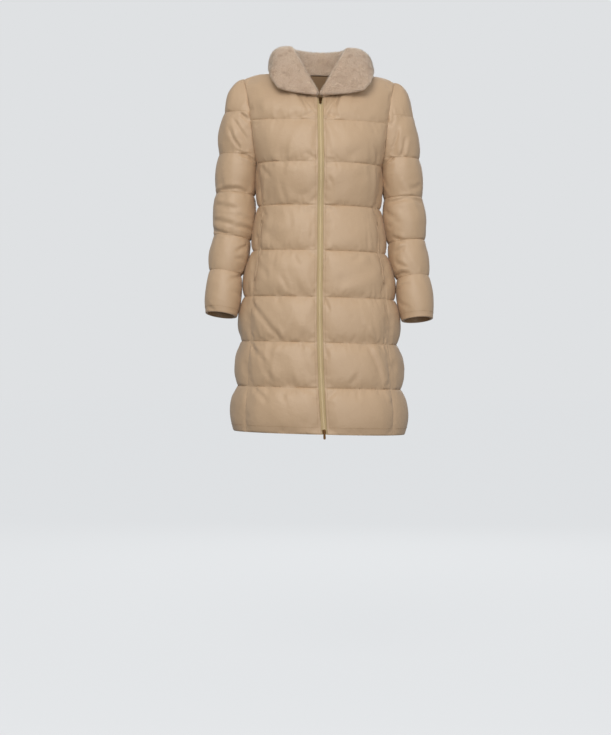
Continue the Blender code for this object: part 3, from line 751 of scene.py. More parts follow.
@dataclass(frozen=True)
class FurFinish:
    """Modacrylic faux-fur pile, sheared short: mottled taupe, each hair given painted shade near
    its root.
    """

    name: str = "taupe_modacrylic_pile"
    light: str = "F0DECA"
    middle: str = "E4CFB8"
    dark: str = "B99B82"
    # Painted shade for the foot of each hair, where the pile shades itself.
    roots: str = "DAC3AC"

    def make(self) -> bpy.types.Material:
        """The pile's material: painted shade darkens each hair near its root, and its tips are
        mottled.

        Returns:
            The material.
        """
        found = bpy.data.materials.get(self.name)
        if found:
            return found
        material, tree, shader = new_material(self.name, self.middle)
        shader.inputs["Roughness"].default_value = 0.75
        shader.inputs["Sheen Weight"].default_value = 0.4
        shader.inputs["Specular IOR Level"].default_value = 0.25
        place = add_node(tree, "TexCoord", {}, {}).outputs["Object"]
        pattern = {"Scale": FLECK_FREQUENCY, "Detail": 2.5}
        mottle = add_node(tree, "TexNoise", pattern, {"Vector": place}).outputs["Fac"]
        colours = add_node(tree, "ValToRGB", {}, {"Fac": mottle})
        ramp = colours.color_ramp.elements
        ramp[0].position, ramp[0].color = 0.30, linear(self.dark)
        ramp[1].position, ramp[1].color = 0.60, linear(self.light)
        ramp.new(0.41).color = linear(self.middle)
        tip = add_node(tree, "Attribute", {"attribute_name": TIP}, {}).outputs["Fac"]
        # Painted shade: each hair runs from the darker root colour at its foot to the mottle at its
        # tip.
        blend = {"data_type": "RGBA", 6: linear(self.roots)}
        mixed = add_node(tree, "Mix", blend, {0: tip, 7: colours.outputs["Color"]})
        tree.links.new(mixed.outputs[2], shader.inputs["Base Color"])
        return material


# ---- sewing ------------------------------------------------------------------------------


def select_only(piece: bpy.types.Object) -> None:
    """Makes one object the active one, and the only one selected."""
    bpy.ops.object.select_all(action="DESELECT")
    piece.select_set(True)
    bpy.context.view_layer.objects.active = piece


def smooth(piece: bpy.types.Object, angle_deg: float = 50.0) -> None:
    """Shades a piece smooth, but for edges sharper than an angle."""
    select_only(piece)
    bpy.ops.object.shade_smooth_by_angle(angle=math.radians(angle_deg))


def sew_on(piece: bpy.types.Object, slot: str, *replaced: str) -> None:
    """Ties a finished piece to the coat's body, and hides the nodes that it stands for."""
    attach(piece, BODY)
    if replaced:
        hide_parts(*replaced)


@contextmanager
def editing(piece: bpy.types.Object, picked_by: str = "VERT") -> Iterator[None]:
    """Opens one mesh for editing with all of it selected, and closes it after.

    Args:
        piece: The mesh's object.
        picked_by: What the selection is made of, VERT or EDGE.

    Yields:
        Nothing: the mesh is open meanwhile.
    """
    select_only(piece)
    bpy.ops.object.mode_set(mode="EDIT")
    bpy.ops.mesh.select_mode(type=picked_by)
    bpy.ops.mesh.select_all(action="SELECT")
    yield
    bpy.ops.object.mode_set(mode="OBJECT")


def flip(piece: bpy.types.Object) -> None:
    """Turns all the faces of a mesh over."""
    with editing(piece):
        bpy.ops.mesh.flip_normals()


def select_open_edges() -> None:
    """Selects only the open edges of the mesh that is being edited."""
    bpy.ops.mesh.select_all(action="DESELECT")
    bpy.ops.mesh.select_non_manifold()


def joined(first: bpy.types.Object, second: bpy.types.Object) -> bpy.types.Object:
    """The first object, with the second joined into it."""
    select_only(first)
    second.select_set(True)
    bpy.ops.object.join()
    return first


def unit(vectors: np.ndarray) -> np.ndarray:
    """The vectors at a length of 1."""
    return vectors / np.maximum(np.linalg.norm(vectors, axis=-1, keepdims=True), NOTHING)


def run(points: np.ndarray, axis: int = 0) -> np.ndarray:
    """The distance covered at each point, from the first one along an axis."""
    first = points.take([0], axis=axis)
    return np.linalg.norm(np.diff(points, axis=axis, prepend=first), axis=-1).cumsum(axis=axis)


def outwards(points: np.ndarray) -> np.ndarray:
    """The vectors square to a sheet of points, as long as the area that each point has."""
    return np.cross(np.gradient(points, axis=1), np.gradient(points, axis=0))


def add_sheet(name: str, points: np.ndarray, cloth: np.ndarray) -> bpy.types.Object:
    """Lays a grid primitive out over an array of points.

    Args:
        name: The new object's name.
        points: The points, by row and column.
        cloth: The flat place of each point on the cloth, in metres, for the UV map.

    Returns:
        The object. Its vertices count along its rows.
    """
    rows, columns = points.shape[:2]
    bpy.ops.object.select_all(action="DESELECT")
    bpy.ops.mesh.primitive_grid_add(x_subdivisions=columns - 1, y_subdivisions=rows - 1, size=1.0)
    sheet = bpy.context.object
    sheet.name = sheet.data.name = name
    mesh = sheet.data
    flat = np.empty(len(mesh.vertices) * 3)
    mesh.vertices.foreach_get("co", flat)
    flat = flat.reshape(-1, 3) + 0.5
    column = np.rint(flat[:, 0] * (columns - 1)).astype(int)
    row = np.rint(flat[:, 1] * (rows - 1)).astype(int)
    mesh.vertices.foreach_set("co", points[row, column].ravel())
    corner = np.empty(len(mesh.loops), int)
    mesh.loops.foreach_get("vertex_index", corner)
    mesh.uv_layers.active.name = "cloth"
    mesh.uv_layers.active.data.foreach_set("uv", cloth[row[corner], column[corner]].ravel())
    mesh.update()
    return sheet


def joined_copies(name: str, template: bpy.types.Object, frames: np.ndarray) -> bpy.types.Object:
    """One mesh that holds a copy of a small shape at each of many places.

    Args:
        name: The new object's name.
        template: The shape, modelled once about the origin. It is removed.
        frames: A 3 by 4 matrix for each copy: its axes in columns, then its place.

    Returns:
        The object.
    """
    corners = np.array([vertex.co for vertex in template.data.vertices])
    points = np.einsum("nij,vj->nvi", frames[:, :, :3], corners) + frames[:, None, :, 3]
    faces = [tuple(polygon.vertices) for polygon in template.data.polygons]
    flat, sizes = np.concatenate(faces), [len(face) for face in faces]
    mesh = bpy.data.meshes.new(name)
    mesh.vertices.add(len(corners) * len(frames))
    mesh.vertices.foreach_set("co", points.ravel())
    every = (flat[None, :] + len(corners) * np.arange(len(frames))[:, None]).ravel()
    starts = np.concatenate([[0], np.cumsum(np.tile(sizes, len(frames)))[:-1]])
    mesh.loops.add(len(every))
    mesh.loops.foreach_set("vertex_index", every)
    mesh.polygons.add(len(starts))
    mesh.polygons.foreach_set("loop_start", starts)
    mesh.update(calc_edges=True)
    mesh.validate()
    bpy.data.objects.remove(template)
    piece = bpy.data.objects.new(name, mesh)
    bpy.context.scene.collection.objects.link(piece)
    return piece


BAND_STEPS = 12


def add_band(
    name: str, centres: np.ndarray, sides: np.ndarray, outs: np.ndarray, half_width: float,
    half_depth: float,
) -> bpy.types.Object:
    """Lays a long flat band along a line, rounded at its edges and closed at its ends.

    Args:
        name: The new object's name.
        centres: The points that it follows.
        sides, outs: The unit vectors across the band and out of it at each point.
        half_width, half_depth: Half its width and half its thickness.

    Returns:
        The object.
    """
    turns = np.array(steps(0, 2 * math.pi, BAND_STEPS))
    around = half_width * np.cos(turns)[None, :, None] * sides[:, None]
    around = around + half_depth * np.sin(turns)[None, :, None] * outs[:, None]
    points = centres[:, None] + around
    flat = np.broadcast_to((half_width * turns / math.pi * 2)[None, :], points.shape[:2])
    along = np.broadcast_to(run(centres)[:, None], flat.shape)
    band = add_sheet(name, points, np.stack([flat, along], axis=2))
    with editing(band):
        bpy.ops.mesh.remove_doubles(threshold=half_depth / BAND_STEPS)
        select_open_edges()
        bpy.ops.mesh.fill_holes(sides=0)
        bpy.ops.mesh.select_all(action="SELECT")
        bpy.ops.mesh.normals_make_consistent(inside=False)
    smooth(band)
    report(band)
    return band


def report(piece: bpy.types.Object) -> None:
    """Logs how many faces a piece has, and how many of its edges don't have two faces."""
    mesh = piece.data
    edge = np.empty(len(mesh.loops), int)
    mesh.loops.foreach_get("edge_index", edge)
    open_edges = int((np.bincount(edge, minlength=len(mesh.edges)) != 2).sum())
    LOG.info("%s: %d faces, %d open edges", piece.name, len(mesh.polygons), open_edges)


def close_sheet(sheet: bpy.types.Object) -> None:
    """Sews a sheet's coinciding edges together, such as the underarm seam's."""
    with editing(sheet):
        select_open_edges()
        bpy.ops.mesh.remove_doubles(threshold=SEW_WITHIN)
        bpy.ops.mesh.select_all(action="SELECT")
        bpy.ops.mesh.dissolve_degenerate(threshold=SEW_WITHIN / 10)


def close_edges(piece: bpy.types.Object) -> None:
    """Bridges a skin's open loops to its lining's, the lowest pair of a tube first."""
    if "sleeve" in piece.name:
        with editing(piece, "EDGE"):
            select_open_edges()
        heights = np.array([vertex.co.z for vertex in piece.data.vertices])
        for edge in piece.data.edges:
            if heights[list(edge.vertices)].mean() > CUFF_BELOW:
                edge.select = False
        bpy.ops.object.mode_set(mode="EDIT")
        bpy.ops.mesh.bridge_edge_loops()
        bpy.ops.object.mode_set(mode="OBJECT")
    with editing(piece, "EDGE"):
        select_open_edges()
        bpy.ops.mesh.bridge_edge_loops()


CUFF_BELOW = -0.5
SEW_WITHIN = 0.0006
SEAM_SHARPNESS = 0.55
LINING_DEPTH = 0.0025
LINING_SWELL = 0.004
MOST_SLIP = 0.003
EDGE_CALM = 0.006
UNEVEN_PITCH = 0.060
UNEVEN_DEPTH = 0.0022
FOLD_FADE = 0.35
SEAM_SEARCH = 0.005
JUST = 1e-6
SLEEVE_CHANNELS = 6


class Fold(NamedTuple):
    """A crease from one place in a panel to another. Its width and depth are in millimetres."""

    across: float
    along: float
    end_across: float
    end_along: float
    width: float
    depth: float


class Gather(NamedTuple):
    """One size of the small gathers along the quilting: how deep, how far and how often."""

    depth: float
    reach: float
    pitch: float
    slant: float
    contrast: float
    below: float


GATHERS = (
    Gather(0.0019, 0.0065, 0.012, 0.3, 0.5, 0.8),
    Gather(0.0026, 0.0180, 0.026, 0.7, 0.9, 0.7),
)


@dataclass
class Panel:
    """One padded panel: a sheet of cloth on the coat's form, quilted along some rows.

    Attributes:
        name: The node that it replaces.
        surface: A point of the coat for a place across and along the panel.
        reach: How far the filling holds the cloth out at a place.
        acrosses, alongs: The places of its columns and rows.
        quilted: The rows that are stitched through to the lining.
        most_rise: How far the filling may push the cloth past its start.
        mirrored: Whether the panel is the twin of one on the +X side.
        points, normals, heights: The form, and how far the cloth starts out from it.
        cloth: The flat place of each point.
        shaped: The outer skin once it is filled and creased.
    """

    name: str
    surface: Surface
    reach: Callable[[float, float], float]
    acrosses: list[float]
    alongs: list[float]
    quilted: list[int]
    most_rise: float
    mirrored: bool = False
    lining_stride: int = 2
    edge_roll: float = 0.0012
    points: np.ndarray = field(init=False)
    normals: np.ndarray = field(init=False)
    heights: np.ndarray = field(init=False)
    cloth: np.ndarray = field(init=False)
    shaped: np.ndarray = field(init=False)
    skin: bpy.types.Object = field(init=False)

    def __post_init__(self) -> None:
        """Works out the panel's points, normals and flat layout."""
        points = np.array([[self.surface(at, up) for at in self.acrosses] for up in self.alongs])
        reach = np.array([[self.reach(at, up) for at in self.acrosses] for up in self.alongs])
        if self.mirrored:
            points, reach = points[:, ::-1] * (-1, 1, 1), reach[:, ::-1]
        normals = outwards(points)
        length = np.linalg.norm(normals, axis=2, keepdims=True)
        self.normals = np.where(length > NOTHING, unit(normals), (0.0, 0.0, 1.0))
        self.points, self.heights = points, reach
        wide, middle = run(points, 1), points.shape[1] // 2
        self.cloth = np.stack([wide - wide[:, middle : middle + 1], run(points)], axis=2)

    def rim(self) -> set[tuple[int, int]]:
        """The row and column of every point on the panel's edge."""
        rows, columns = self.heights.shape
        ends = [(row, column) for row in (0, rows - 1) for column in range(columns)]
        return set(ends + [(row, column) for row in range(rows) for column in (0, columns - 1)])

    def start(self) -> np.ndarray:
        """The outer skin before the filling swells it, with its edges rolled in."""
        held = self.heights.copy()
        for spot in self.rim():
            held[spot] = max(held[spot] - self.edge_roll, 0.0)
        return self.points + self.normals * held[..., None]

    def lay_out(self) -> None:
        """Makes the outer skin's mesh, and marks what the stitching holds."""
        self.skin = add_sheet(self.name + "_skin", self.start(), self.cloth)
        held = np.zeros(self.heights.shape, bool)
        held[self.quilted] = True
        for spot in self.rim():
            held[spot] = True
        group = self.skin.vertex_groups.new(name="stitched")
        group.add(np.flatnonzero(held).tolist(), 1.0, "REPLACE")

    def settled(self, folds: Sequence[Fold], seed: int) -> None:
        """Puts what the simulation made into the mesh, capped, with its puckers and folds.

        Args:
            folds: The creases that lie in this panel.
            seed: Picks the panel's own puckers.
        """
        graph = bpy.context.evaluated_depsgraph_get()
        swollen = np.empty(self.points.size, np.float32)
        self.skin.evaluated_get(graph).data.vertices.foreach_get("co", swollen)
        start = self.start()
        moved = swollen.reshape(start.shape).astype(float) - start
        rise = (moved * self.normals).sum(axis=2, keepdims=True)
        slip = moved - rise * self.normals
        length = np.linalg.norm(slip, axis=2, keepdims=True)
        slip *= np.minimum(1, MOST_SLIP / np.maximum(length, NOTHING))
        rise = np.clip(rise, -MOST_SLIP, self.most_rise)
        self.shaped = start + slip + self.normals * (rise + self.relief(folds, seed)[..., None])
        self.skin.modifiers.clear()
        self.skin.data.vertices.foreach_set("co", self.shaped.ravel())
        self.skin.data.update()

    def relief(self, folds: Sequence[Fold], seed: int) -> np.ndarray:
        """The height of puckers beside each stitched row, and of the folds.

        Args:
            folds: The creases that lie in this panel.
            seed: Picks the panel's own puckers.

        Returns:
            The height of each point over the swollen skin.
        """
        wide, tall = self.cloth[..., 0], self.cloth[..., 1]
        height = np.zeros(wide.shape)
        free = 1.0 - np.isin(np.arange(len(self.alongs)), self.quilted)[:, None]
        for number, row in enumerate(self.quilted):
            from_seam = tall - tall[row]
            for gather in GATHERS:
                away = np.abs(from_seam) / gather.reach
                own = seed * 97 + number * 7 + int(gather.pitch / MILLIMETRE)
                slant = gather.slant * ripple(wide, gather.pitch * 5, own + 3)
                wave = ripple(wide + slant * from_seam, gather.pitch, own)
                kept = ease(0.5 + gather.contrast * ripple(wide, gather.pitch * 4, own + 1))
                side = np.where(from_seam > 0, 1.0, gather.below)
                height += gather.depth * away * np.exp(1 - away) * wave * kept * side
        soft = ripple(wide + 0.4 * tall, UNEVEN_PITCH, seed)
        soft = soft * ripple(tall - 0.5 * wide, UNEVEN_PITCH, seed + 50)
        height += UNEVEN_DEPTH * soft
        for number, fold in enumerate(folds):
            height += self.crease(fold, seed * 31 + number)
        edges = [wide - wide[:, :1], wide[:, -1:] - wide, tall, tall[-1:] - tall]
        return height * free * ease(np.minimum.reduce(edges) / EDGE_CALM)

    def crease(self, fold: Fold, seed: int) -> np.ndarray:
        """The height of one crease: a trough with a ridge on each side, fading at its ends.

        Args:
            fold: The crease.
            seed: Picks its waver.

        Returns:
            The height of each point.
        """
        start = self.cloth_at(fold.across, fold.along)
        across = self.cloth_at(fold.end_across, fold.end_along) - start
        length = float(np.linalg.norm(across))
        way = across / length
        aside, up = self.cloth[..., 0] - start[0], self.cloth[..., 1] - start[1]
        down_fold = aside * way[0] + up * way[1]
        over_fold = up * way[0] - aside * way[1]
        over_fold = over_fold / (fold.width * MILLIMETRE) + 0.5 * ripple(down_fold, length, seed)
        trough = np.exp(-(over_fold**2))
        ridges = sum(
            size * np.exp(-(((over_fold - 2.0 * side) / 1.2) ** 2))
            for side, size in ((1, 0.55), (-1, 0.3))
        )
        fade = ease(down_fold / (FOLD_FADE * length) + 0.5)
        fade = fade * ease((length - down_fold) / (FOLD_FADE * length) + 0.5)
        return fold.depth * MILLIMETRE * (ridges - trough) * fade

    def cloth_at(self, across: float, along: float) -> np.ndarray:
        """The flat place of the point nearest a place across and along the unmirrored panel."""
        column = int(np.argmin(np.abs(np.array(self.acrosses) - across)))
        row = int(np.argmin(np.abs(np.array(self.alongs) - along)))
        return self.cloth[row, -1 - column if self.mirrored else column]

    def finish(self) -> None:
        """Joins the skin to its lining all round, which makes the closed, padded panel."""
        select_only(self.skin)
        crease = self.skin.data.attributes.new("crease_edge", "FLOAT", "EDGE")
        columns = self.points.shape[1]
        ends = np.empty(len(self.skin.data.edges) * 2, int)
        self.skin.data.edges.foreach_get("vertices", ends)
        row, column = np.divmod(ends.reshape(-1, 2), columns)
        stitched = (row[:, 0] == row[:, 1]) & np.isin(row[:, 0], self.quilted)
        crease.data.foreach_set("value", np.where(stitched, SEAM_SHARPNESS, 0.0))
        bpy.ops.object.modifier_add(type="SUBSURF")
        finer = self.skin.modifiers[-1]
        finer.levels = finer.render_levels = 1
        bpy.ops.object.modifier_apply(modifier=finer.name)
        picked = np.ix_(*(
            sorted({*range(0, count, self.lining_stride), count - 1})
            for count in self.heights.shape
        ))
        depths = LINING_DEPTH + np.minimum(self.heights, LINING_SWELL)
        back = self.points - self.normals * depths[..., None]
        lining = add_sheet(self.name + "_lining", back[picked], self.cloth[picked])
        flip(lining)
        for sheet, finish in ((self.skin, TAFFETA), (lining, LINING)):
            sheet.data.materials.append(finish.make())
            close_sheet(sheet)
        panel = joined(self.skin, lining)
        close_edges(panel)
        panel.name = panel.data.name = self.name + "_panel"
        smooth(panel)
        sew_on(panel, "shell", self.name)
        report(panel)


def seam_rows(count: int, spacing: int) -> list[int]:
    """The rows of a panel's quilting seams."""
    return [spacing * seam for seam in range(1, count + 1)]


@dataclass
class PaddedShell:
    """The fronts, the back, the sides and the sleeves: quilted taffeta with its filling.

    Attributes:
        body, sleeve: The coat's form.
        rows_per_channel: How finely a body channel is divided.
        pressure: What the filling pushes with, in the simulation.
        spare_cloth: How much longer the cloth is than its first form.
    """

    body: BodyForm
    sleeve: SleeveForm
    rows_per_channel: int = 18
    yoke_rows: int = 26
    front_columns: int = 50
    side_columns: int = 20
    sleeve_columns: int = 64
    sleeve_rows: int = 20
    pressure: float = 4.0
    spare_cloth: float = 0.012
    settling_frames: int = 20
    crowding: float = 0.45
    fullness: float = 0.88
    hem_fullness: float = 0.30
    seam_fullness: float = 0.60
    zip_fullness: float = 0.50
    side_swell: float = 1.25
    edge_reach: float = 0.20
    sleeve_puff: float = 0.007
    sleeve_inner_puff: float = 0.0085
    sleeve_edge: float = 0.002
    armhole_reach: float = 0.25
    inner_bias: float = 0.3
    roundness: float = 0.7
    yoke_swell: float = 0.8
    yoke_fade: float = 1.1
    across_crowding: float = 0.35
    sleeve_across_crowding: float = 0.3
    panels: list[Panel] = field(default_factory=list)

    def swell(self, share: float) -> float:
        """How full a quilted channel is at a share of its height."""
        return max(0.0, math.sin(math.pi * share)) ** self.roundness

    def near_seam(self, distance: float, fullness: float, reach: float) -> float:
        """How much of the puff is left near a panel's edge."""
        return fullness + (1 - fullness) * float(ease(distance / reach))

    def open_swell(self, share: float) -> float:
        """How full the lowest channel is: its open edge stands out as well."""
        return max(self.swell(share), self.hem_fullness * float(ease(1 - 2 * share)))

    def body_puff(self, level: float) -> float:
        """How far the body's cloth starts out at a level."""
        channel = min(int(level + JUST), self.body.chest)
        share = level - channel
        puff = self.body.seams[channel].puff * self.fullness
        if channel == self.body.chest:
            fade = float(ease((self.body.shoulder - level) * self.yoke_fade))
            return puff * self.swell(share * self.yoke_swell) * fade
        return puff * (self.swell(share) if channel else self.open_swell(share))

    def front_reach(self, across: float, level: float) -> float:
        """How far a front's cloth starts out."""
        near_zip = self.near_seam(across, self.zip_fullness, self.edge_reach)
        return near_zip * self.back_reach(across, level)

    def back_reach(self, across: float, level: float) -> float:
        """How far the back's cloth starts out."""
        to_edge = 1 - abs(across)
        return self.body_puff(level) * self.near_seam(to_edge, self.seam_fullness, self.edge_reach)

    def side_reach(self, across: float, share: float) -> float:
        """How far a side's cloth starts out."""
        to_edge = min(across, 1 - across, self.body.narrowing + 1 - share)
        level = self.body.side_level(across, share)
        at_edge = self.seam_fullness / self.side_swell
        return self.body_puff(level) * self.side_swell * self.near_seam(to_edge, at_edge, 0.5)

    def sleeve_reach(self, across: float, place: float) -> float:
        """How far a sleeve's cloth starts out: most on the side that faces the body."""
        inner_side = (1 + math.cos(2 * math.pi * across)) / 2
        inner = float(ease(inner_side * (1 + self.inner_bias) - self.inner_bias))
        puff = self.sleeve_puff + (self.sleeve_inner_puff - self.sleeve_puff) * inner
        channel = min(int(place + JUST), SLEEVE_CHANNELS - 1)
        share = place - channel
        own = puff * (self.swell(share) if channel else self.open_swell(share))
        if place < SLEEVE_CHANNELS - 2:
            return own
        nearest = min(across, 1 - across, SLEEVE_CHANNELS - place)
        to_edge = float(ease(nearest / self.armhole_reach))
        return own * to_edge + self.sleeve_edge * (1 - to_edge)

    def cut(self) -> None:
        """Works out every panel."""
        body, per = self.body, self.rows_per_channel
        levels = range(body.shoulder + 1)
        rows = crowded(levels, [per] * body.chest + [self.yoke_rows], self.crowding)
        across = crowded((0, 1), (self.front_columns,), self.across_crowding)
        wide = [-at for at in reversed(across)] + across[1:]
        low_rows = crowded(range(body.narrowing + 1), [per] * body.narrowing, self.crowding)
        low_rows += crowded((body.narrowing, body.narrowing + 1), (per,), self.crowding)[1:]
        low_across = crowded((0, 1), (self.side_columns,), self.across_crowding)
        places = range(SLEEVE_CHANNELS + 1)
        tube_rows = crowded(places, [self.sleeve_rows] * SLEEVE_CHANNELS, self.crowding)
        tube_rows[-1] = float(SLEEVE_CHANNELS)
        tube_across = crowded((0, 1), (self.sleeve_columns,), self.sleeve_across_crowding)
        quilted, low_quilted = seam_rows(body.chest, per), seam_rows(body.narrowing, per)
        tube_quilted = seam_rows(SLEEVE_CHANNELS - 1, self.sleeve_rows)
        for name, side in (("front_left", 1), ("front_right", -1)):
            surface = partial(self.front_side, side=side)
            self.panels.append(Panel(
                name, surface, self.front_reach, across, rows, quilted, 0.0035, side < 0,
            ))
        self.panels.append(Panel(
            "back", body.back_point, self.back_reach, wide, rows, quilted, 0.0045,
        ))
        for side, twin in (("left", False), ("right", True)):
            self.panels.append(Panel(
                f"side_{side}", body.side_point, self.side_reach, low_across, low_rows,
                low_quilted, 0.002, twin,
            ))
            self.panels.append(Panel(
                f"sleeve_{side}", self.sleeve.point, self.sleeve_reach, tube_across, tube_rows,
                tube_quilted, 0.002, twin,
            ))

    def front_side(self, across: float, level: float, side: int) -> Vector:
        """A point of a front, which the panel turns over to its own side."""
        point = self.body.front_point(across, level, side)
        return Vector((side * point.x, point.y, point.z))

    def match_seams(self) -> None:
        """Gives neighbouring panels one normal and reach where their edges meet."""
        rims = [(panel, spot) for panel in self.panels for spot in panel.rim()]
        tree = kdtree.KDTree(len(rims))
        for index, (panel, spot) in enumerate(rims):
            tree.insert(Vector(panel.points[spot]), index)
        tree.balance()
        new = []
        for panel, spot in rims:
            best = {}
            for _, index, away in tree.find_range(Vector(panel.points[spot]), SEAM_SEARCH):
                other, place = rims[index]
                key = (other.name, place[1] < other.points.shape[1] / 2)
                if key not in best or away < best[key][0]:
                    best[key] = (away, other.normals[place], other.heights[place])
            normal = sum(found[1] for found in best.values())
            new.append((normal / np.linalg.norm(normal), min(found[2] for found in best.values())))
        for (panel, spot), (normal, height) in zip(rims, new):
            panel.normals[spot], panel.heights[spot] = normal, height

    def hang(self) -> None:
        """Gives every panel the coat's lean."""
        for panel in self.panels:
            panel.points[..., 2] -= self.body.lean * panel.points[..., 0]

    def fill(self, folds: dict[str, Sequence[Fold]]) -> None:
        """Swells all the panels together with the filling's pressure.

        Args:
            folds: The creases that the wearer's stance leaves, by panel.
        """
        for panel in self.panels:
            panel.lay_out()
            padding = panel.skin.modifiers.new("padding", "CLOTH")
            cloth = padding.settings
            cloth.vertex_group_mass = "stitched"
            cloth.effector_weights.gravity = 0.0
            cloth.use_pressure = True
            cloth.uniform_pressure_force = self.pressure
            cloth.shrink_min = -self.spare_cloth
            cloth.bending_stiffness = 0.5
            padding.point_cache.frame_start = 1
            padding.point_cache.frame_end = self.settling_frames
        for at in range(1, self.settling_frames + 1):
            bpy.context.scene.frame_set(at)
        for seed, panel in enumerate(self.panels):
            panel.settled(folds[panel.name], seed + 1)
        bpy.context.scene.frame_set(1)

    def make(self, folds: dict[str, Sequence[Fold]]) -> None:
        """Cuts, matches, fills and finishes the panels."""
        self.cut()
        self.match_seams()
        self.hang()
        self.fill(folds)
        for panel in self.panels:
            panel.finish()


